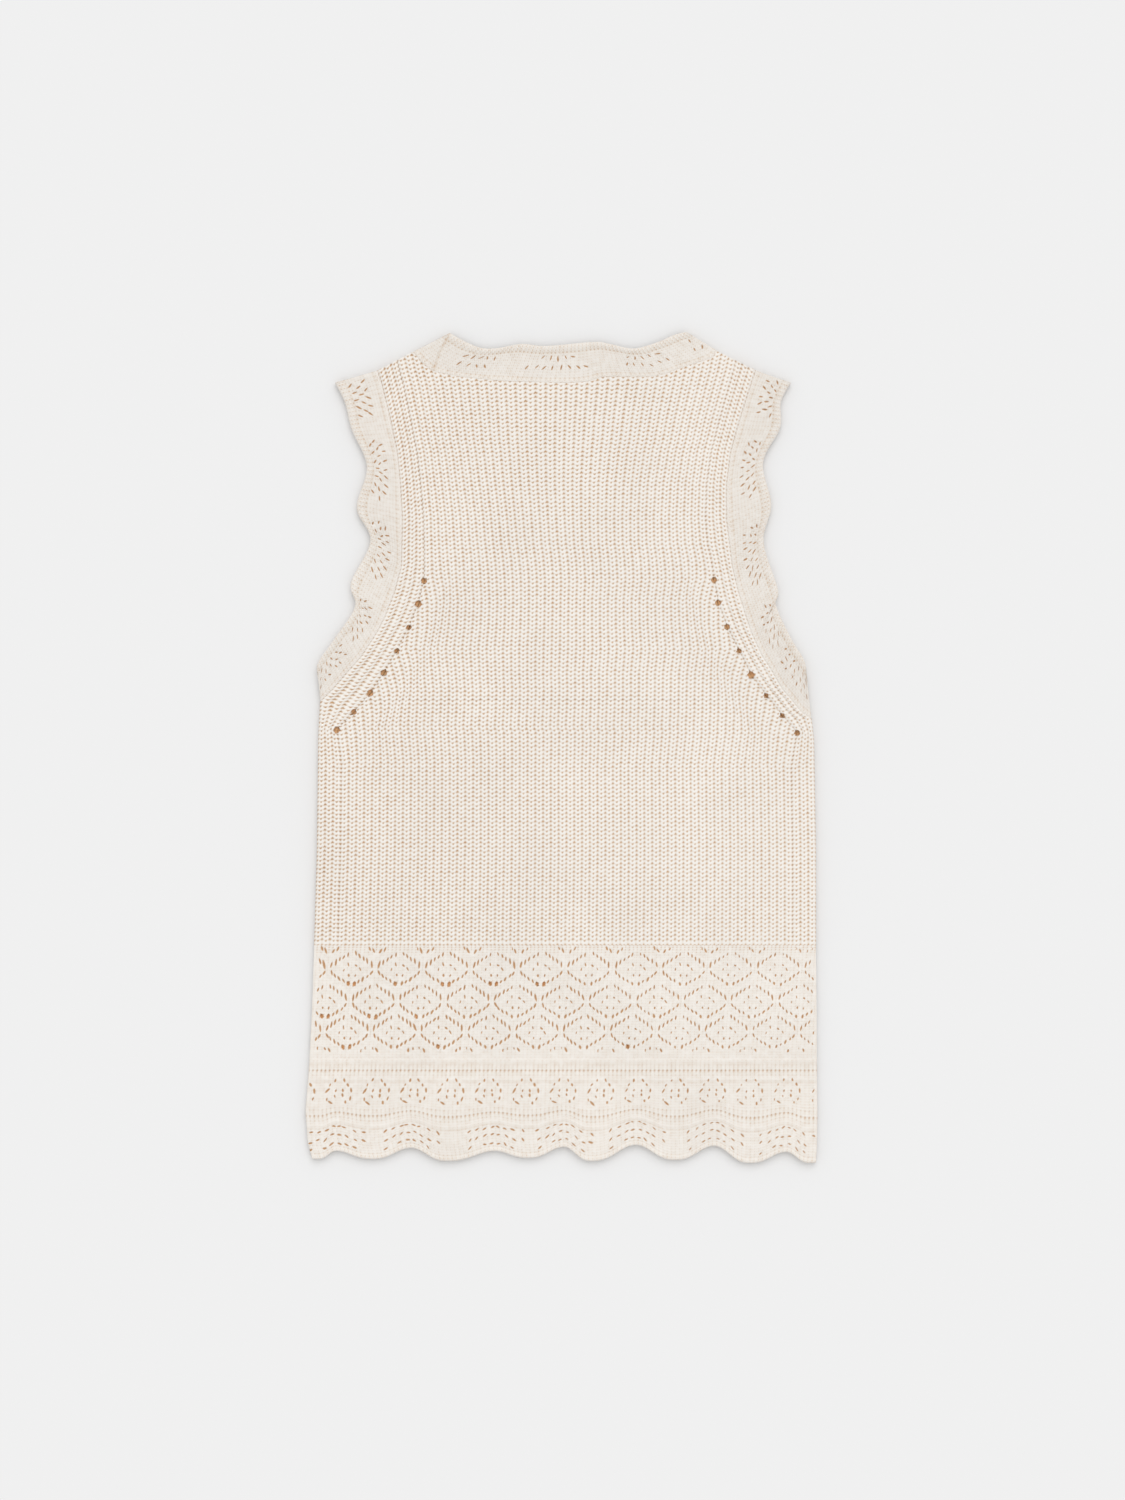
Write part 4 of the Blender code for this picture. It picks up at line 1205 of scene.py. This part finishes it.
# ---------------------------------------------------------------- bands at the armholes and neck
# Each band is a strip of plain knitting with two or three rows of eyelets in fans, like the
# border. It is linked to the body at its ridged seam, and its beaded outer edge rolls over into
# scallops. It is measured from its seam, as a share of its width, and along its middle line.
SEAM_LAP = 0.5
BAND_COURSES = 14
BAND_WALE = 3.2
CURVE_POINTS = 600
NECK_CORNERS = (-111.4, 115.9)
UNDERARM_HEIGHTS = (346.5, 333.2)
LEFT_ARMHOLE_EDGE = (
    # x, height
    (-169.9, 585.0), (-162.4, 570.0), (-157.3, 549.75), (-146.0, 522.0), (-153.6, 491.25),
    (-143.4, 466.5), (-158.0, 435.0), (-155.0, 417.0), (-171.0, 392.25), (-182.4, 375.75),
    (-183.2, 368.25),
)
RIGHT_ARMHOLE_EDGE = (
    # x, height
    (172.0, 585.0), (164.6, 570.75), (164.0, 551.25), (151.2, 525.0), (157.4, 493.5),
    (151.6, 465.75), (162.4, 429.75), (160.9, 417.75), (172.9, 392.25), (181.9, 377.25),
    (183.6, 368.25),
)
NECK_EDGE = (
    # x, height
    (-83.6, 622.5), (-71.6, 615.75), (-59.6, 611.25), (-47.6, 611.25), (-29.6, 614.25),
    (-11.6, 612.75), (24.4, 615.75), (36.4, 614.25), (54.4, 610.9), (72.4, 615.75), (84.4, 621.0),
    (93.4, 623.25),
)
LEFT_ARMHOLE_FANS = (
    # x, height of the edge's valleys, half length of the fan
    (-161.0, 571.0, 13.0), (-146.0, 522.0, 22.0), (-143.4, 466.5, 22.0), (-155.0, 417.0, 16.0),
    (-178.0, 380.0, 20.0),
)
RIGHT_ARMHOLE_FANS = (
    # x, height of the edge's valleys, half length of the fan
    (165.0, 572.0, 13.0), (151.2, 525.0, 22.0), (151.6, 465.7, 22.0), (160.9, 417.0, 16.0),
    (178.0, 381.0, 20.0),
)
NECK_FANS = (
    # x, height of the edge's valleys, half length of the fan
    (-54.0, 611.2, 13.0), (-1.0, 613.0, 22.0), (56.0, 611.0, 18.0), (104.0, 620.0, 10.0),
)
BAND_SECTION = np.array((
    # share of width from the seam, wall
    (0.0, 1.7), (0.03, 2.3), (0.07, 2.4), (0.12, 2.1), (0.52, 1.9), (0.79, 1.8), (0.85, 2.2),
    (0.91, 2.6), (0.97, 2.2), (1.0, 1.2),
))
ARMHOLE_FAN_ROWS = (
    # share of width from the edge, places along the band from the fan's middle
    (0.3, (-18.4, -12.3, -6.0, 0.3, 6.4, 12.5, 18.6)),
    (0.44, (-21.0, -15.4, -9.2, -3.1, 3.1, 9.4, 15.5, 21.4)),
    (0.59, (-18.2, -12.2, -6.2, -0.2, 5.9, 12.2, 18.1)),
)
NECK_FAN_ROWS = (
    (0.33, (-11.7, -6.0, 0.2, 5.9, 11.8)),
    (0.59, (-21.5, -15.2, -9.1, -3.2, 3.1, 9.0, 15.4, 21.3)),
)
BAND_SLIT = (0.56, 1.6)
BAND_FOCUS = -1.0
# Shares of the width: where slits may be, where stitches lean, and the roll, its beads and the ridge
SLIT_SPAN = (0.25, 0.9)
LEAN_SPAN = (0.22, 0.95)
ROLL_START = 0.80
ROLL_BLEND = 0.04
BEADS = 0.30
BEAD_BLEND = 0.05
SEAM_RIDGE = (0.07, 0.08)
SEAM_BEADS = 0.18
# Painted shades along the roll and the ridge: place, half width, painted shade. The mitre's: half
# width, depth, painted shade
ROLL_SHADE = (0.80, 0.025, 0.24)
SEAM_SHADE = (0.12, 0.03, 0.18)
# Painted shade in the grooves between the wales on the roll
ROLL_GROOVES = 0.10
NECK_MITRE = 19.0
MITRE_CREASE = (1.0, 0.7, 0.16)


def moved_out(chain, distance):
    """A chain of points moved to its left-hand side by a distance."""
    along = np.gradient(chain, axis=0)
    along = along / np.hypot(*along.T)[:, None]
    return chain + np.column_stack((-along[:, 1], along[:, 0])) * distance


def band_slits(fans, fan_rows, edge, length, width):
    """Slits of a band in its own measures: along the band, and in from its edge."""
    slits = []
    lowest, highest = SLIT_SPAN
    limits = (SIDE_MARGIN, length - SIDE_MARGIN, lowest * width, highest * width)
    for *valley, reach in fans:
        nearest = np.hypot(*(edge - valley).T).argmin()
        middle = nearest / (len(edge) - 1) * length
        rows = []
        for share, places in fan_rows:
            rows.append((share * width, [place for place in places if abs(place) < reach]))
        slits.extend(fan_slits(middle, rows, BAND_FOCUS, BAND_SLIT, 0.0, limits))
    return slits


def band_sheet(seam, edge, fans, fan_rows, mitre, per_wale, rows_per_course):
    """A band from its edge to its seam, knitted at right angles to the seam. A mitre is a seam
    from the start of the band's edge to a place so far along its seam."""
    seam, edge = curve_steps(seam, CURVE_POINTS), curve_steps(edge, CURVE_POINTS)
    width = np.hypot(*(edge - seam).T).mean()
    length = np.hypot(*np.diff((edge + seam) / 2.0, axis=0).T).sum()
    wales = int(round(length / BAND_WALE))
    rows = BAND_COURSES * rows_per_course
    shares = np.arange(rows + 1) / rows
    wale, up = np.meshgrid(np.arange(wales * per_wale + 1) / per_wale, shares * width)
    along = wale * length / wales
    wall, painted_shade = plain_knit(wale, course_grooves(rows + 1, rows_per_course))
    low, high = LEAN_SPAN
    up = up + plain_lean(wale, width / BAND_COURSES, low * width, high * width, up)
    across = off_middle(wale)
    cut = cut_slits(along, up, wall, painted_shade, band_slits(fans, fan_rows, edge, length, width))
    from_seam = 1.0 - part_way(up, width)
    roll = part_way(from_seam - ROLL_START, ROLL_BLEND)
    ridge_at, ridge_reach = SEAM_RIDGE
    ridge = part_way(ridge_reach - np.abs(from_seam - ridge_at), ridge_reach)
    beads = BEADS * np.cos(2.0 * pi * wale) * roll * part_way(1.0 - from_seam, BEAD_BLEND)
    wall = (wall - PLAIN_WALL) * (1.0 - 0.5 * roll) + beads
    wall = wall + np.interp(from_seam, BAND_SECTION[:, 0], BAND_SECTION[:, 1])
    wall = wall + ridge * SEAM_BEADS * np.cos(4.0 * pi * wale)
    painted_shade = painted_shade + ROLL_GROOVES * roll * across ** 4
    for place, reach, tone in (ROLL_SHADE, SEAM_SHADE):
        painted_shade = painted_shade + tone * shaded(bell(from_seam, place, reach), across)
    if mitre > 0.0:
        crease_width, depth, tone = MITRE_CREASE
        crease = bell(along, mitre * (1.0 - from_seam), crease_width)
        wall = wall - depth * crease
        painted_shade = painted_shade + tone * crease
    at = along / length * (CURVE_POINTS - 1)
    spots = np.arange(CURVE_POINTS)
    place = []
    for outer, inner in zip(edge.T, seam.T):
        outer, inner = np.interp(at, spots, outer), np.interp(at, spots, inner)
        place.append(inner + (outer - inner) * from_seam)
    return (*place, wall, painted_shade), cut


def armhole_seam(side):
    """The armhole edge of the body, from the shoulder down to the underarm."""
    heights = np.linspace(SHOULDER_HEIGHTS[side], UNDERARM_HEIGHTS[side], CURVE_POINTS)
    return moved_out(np.column_stack((edge_x(side, heights), heights)), SEAM_LAP * (1, -1)[side])


def neck_seam():
    places = np.linspace(*NECK_CORNERS, CURVE_POINTS)
    return moved_out(np.column_stack((places, back_top(places))), -SEAM_LAP)


bands = []
for side, (name, edge, fans) in enumerate((
    ("left_armhole_band", LEFT_ARMHOLE_EDGE, LEFT_ARMHOLE_FANS),
    ("right_armhole_band", RIGHT_ARMHOLE_EDGE, RIGHT_ARMHOLE_FANS),
)):
    edge = through_points(edge, CURVE_STEPS)
    bands.append((name, armhole_seam(side), edge, fans, ARMHOLE_FAN_ROWS, 0.0))
edge = through_points(NECK_EDGE, CURVE_STEPS)
bands.append(("neck_band", neck_seam(), edge, NECK_FANS, NECK_FAN_ROWS, NECK_MITRE))
for name, *shape in bands:
    strip = band_sheet(*shape, LACE_COLUMNS, ROWS_PER_COURSE)
    shell = (*strip, BACK_BASE, band_cotton, LACE_GRAIN)
    knit_piece(name + "_knit", name + "_back", "band_knit", *shell)


# ---------------------------------------------------------------- front
# The front lies under the back and faces down: the same knit, a little pressed, with a lower
# scooped neck and its own halves of the bands. Its holes lie half a step beside the back's.
# Nothing of it shows but its inner side through the back's holes, painted warm brown as a glow of
# light through the yarn, so it is coarser.
# Columns of points for each rib or wale, and rows of them for each course
FRONT_RIB_STEPS = (4, 2)
FRONT_LACE_STEPS = (2, 1)
FRONT_GRAIN = (2, 1)
FRONT_WALL = 2.6
FRONT_BAND_WALL = 2.3
FRONT_RIB_RECESS = 0.5
FRONT_NECK_DROP = 75.0
FRONT_OPENING_DROP = 65.0
FRONT_NECK_SCALLOPS = 4
FRONT_SCALLOP_DEPTH = 3.6
FRONT_NECK_FANS = (
    # x, height of the edge's valleys, half length of the fan
    (-72.0, 565.0, 22.0), (-25.0, 556.0, 22.0), (30.0, 556.0, 22.0), (80.0, 566.0, 22.0),
)


def scooped(share, left, right, drop):
    """Height of a scooped line between two corners, broad and nearly level at its lowest."""
    return left + (right - left) * (1.0 + share) / 2.0 - drop * (1.0 - np.abs(share) ** 3)


def front_top(x):
    left, right = NECK_CORNERS
    share = np.clip((2.0 * x - left - right) / (right - left), -1.0, 1.0)
    scoop = scooped(share, back_top(left), back_top(right), FRONT_NECK_DROP)
    return np.where(np.abs(share) < 1.0, scoop, back_top(x))


def front_neck_lines():
    """The front neck seam, and the scalloped edge of its band."""
    share = -np.cos(np.linspace(0.0, pi, CURVE_POINTS))
    places = np.mean(NECK_CORNERS) + share * np.ptp(NECK_CORNERS) / 2.0
    seam = moved_out(np.column_stack((places, front_top(places))), -SEAM_LAP)
    (left, left_height), (right, right_height) = NECK_EDGE[0], NECK_EDGE[-1]
    edge = scooped(share, left_height, right_height, FRONT_OPENING_DROP)
    waves = np.cos(np.linspace(0.0, 2.0 * pi * FRONT_NECK_SCALLOPS, CURVE_POINTS))
    edge = edge - FRONT_SCALLOP_DEPTH * (1.0 - waves) / 2.0
    return seam, np.column_stack(((left + right) / 2.0 + share * (right - left) / 2.0, edge))


# The holes up each side lie half way between the back's
front_eyelets = []
for first_eyelet in (0, 1):
    column = np.array(back_eyelets[first_eyelet::2])
    column[:-1, :2] = (column[:-1, :2] + column[1:, :2]) / 2.0
    column[-1, :2] += (column[-1, :2] - column[-2, :2]) / 2.0
    front_eyelets.extend(tuple(hole) for hole in column)

front_rows = even_rows(LACE_TOP, GRID_TOP, COURSE / FRONT_RIB_STEPS[1])
front_rib = rib_sheet(front_rows, LOWER_RIBS, 0, *FRONT_RIB_STEPS, front_top, front_eyelets)
front_sheets = [("front_rib", *front_rib)]
for side, name in enumerate(("front_left_edge_ribs", "front_right_edge_ribs")):
    front_sheets.append((name, *edge_rib_sheet(side, *FRONT_RIB_STEPS, front_eyelets)))
# The front's ribs take less painted shade
for _, sheet, _ in front_sheets:
    painted_shade = sheet[-1]
    painted_shade *= FRONT_RIB_RECESS
slits = diamond_slits(DIAMOND_PITCH / 2.0)
front_sheets.append(("front_diamond_lace", *diamond_sheet(*FRONT_LACE_STEPS, slits)))
slits = border_slits(ROSETTE_PITCH / 2.0)
front_sheets.append(("front_border_lace", *border_sheet(*FRONT_LACE_STEPS, slits)))
# The front faces down, and its inner side carries the painted glow
facing_down = (-1, PAINTED_GLOW)
for name, *sheet in front_sheets:
    shell = (*sheet, FRONT_WALL, rib_cotton, FRONT_GRAIN, *facing_down)
    knit_piece(name, "front_panel", "rib_knit", *shell)

front_neck = ("neck_band", *front_neck_lines(), FRONT_NECK_FANS, NECK_FAN_ROWS, 0.0)
for name, *shape in (*bands[:2], front_neck):
    strip = band_sheet(*shape, *FRONT_LACE_STEPS)
    shell = (*strip, FRONT_BAND_WALL, band_cotton, FRONT_GRAIN, *facing_down)
    knit_piece(name + "_front_knit", name + "_front", "band_knit", *shell)
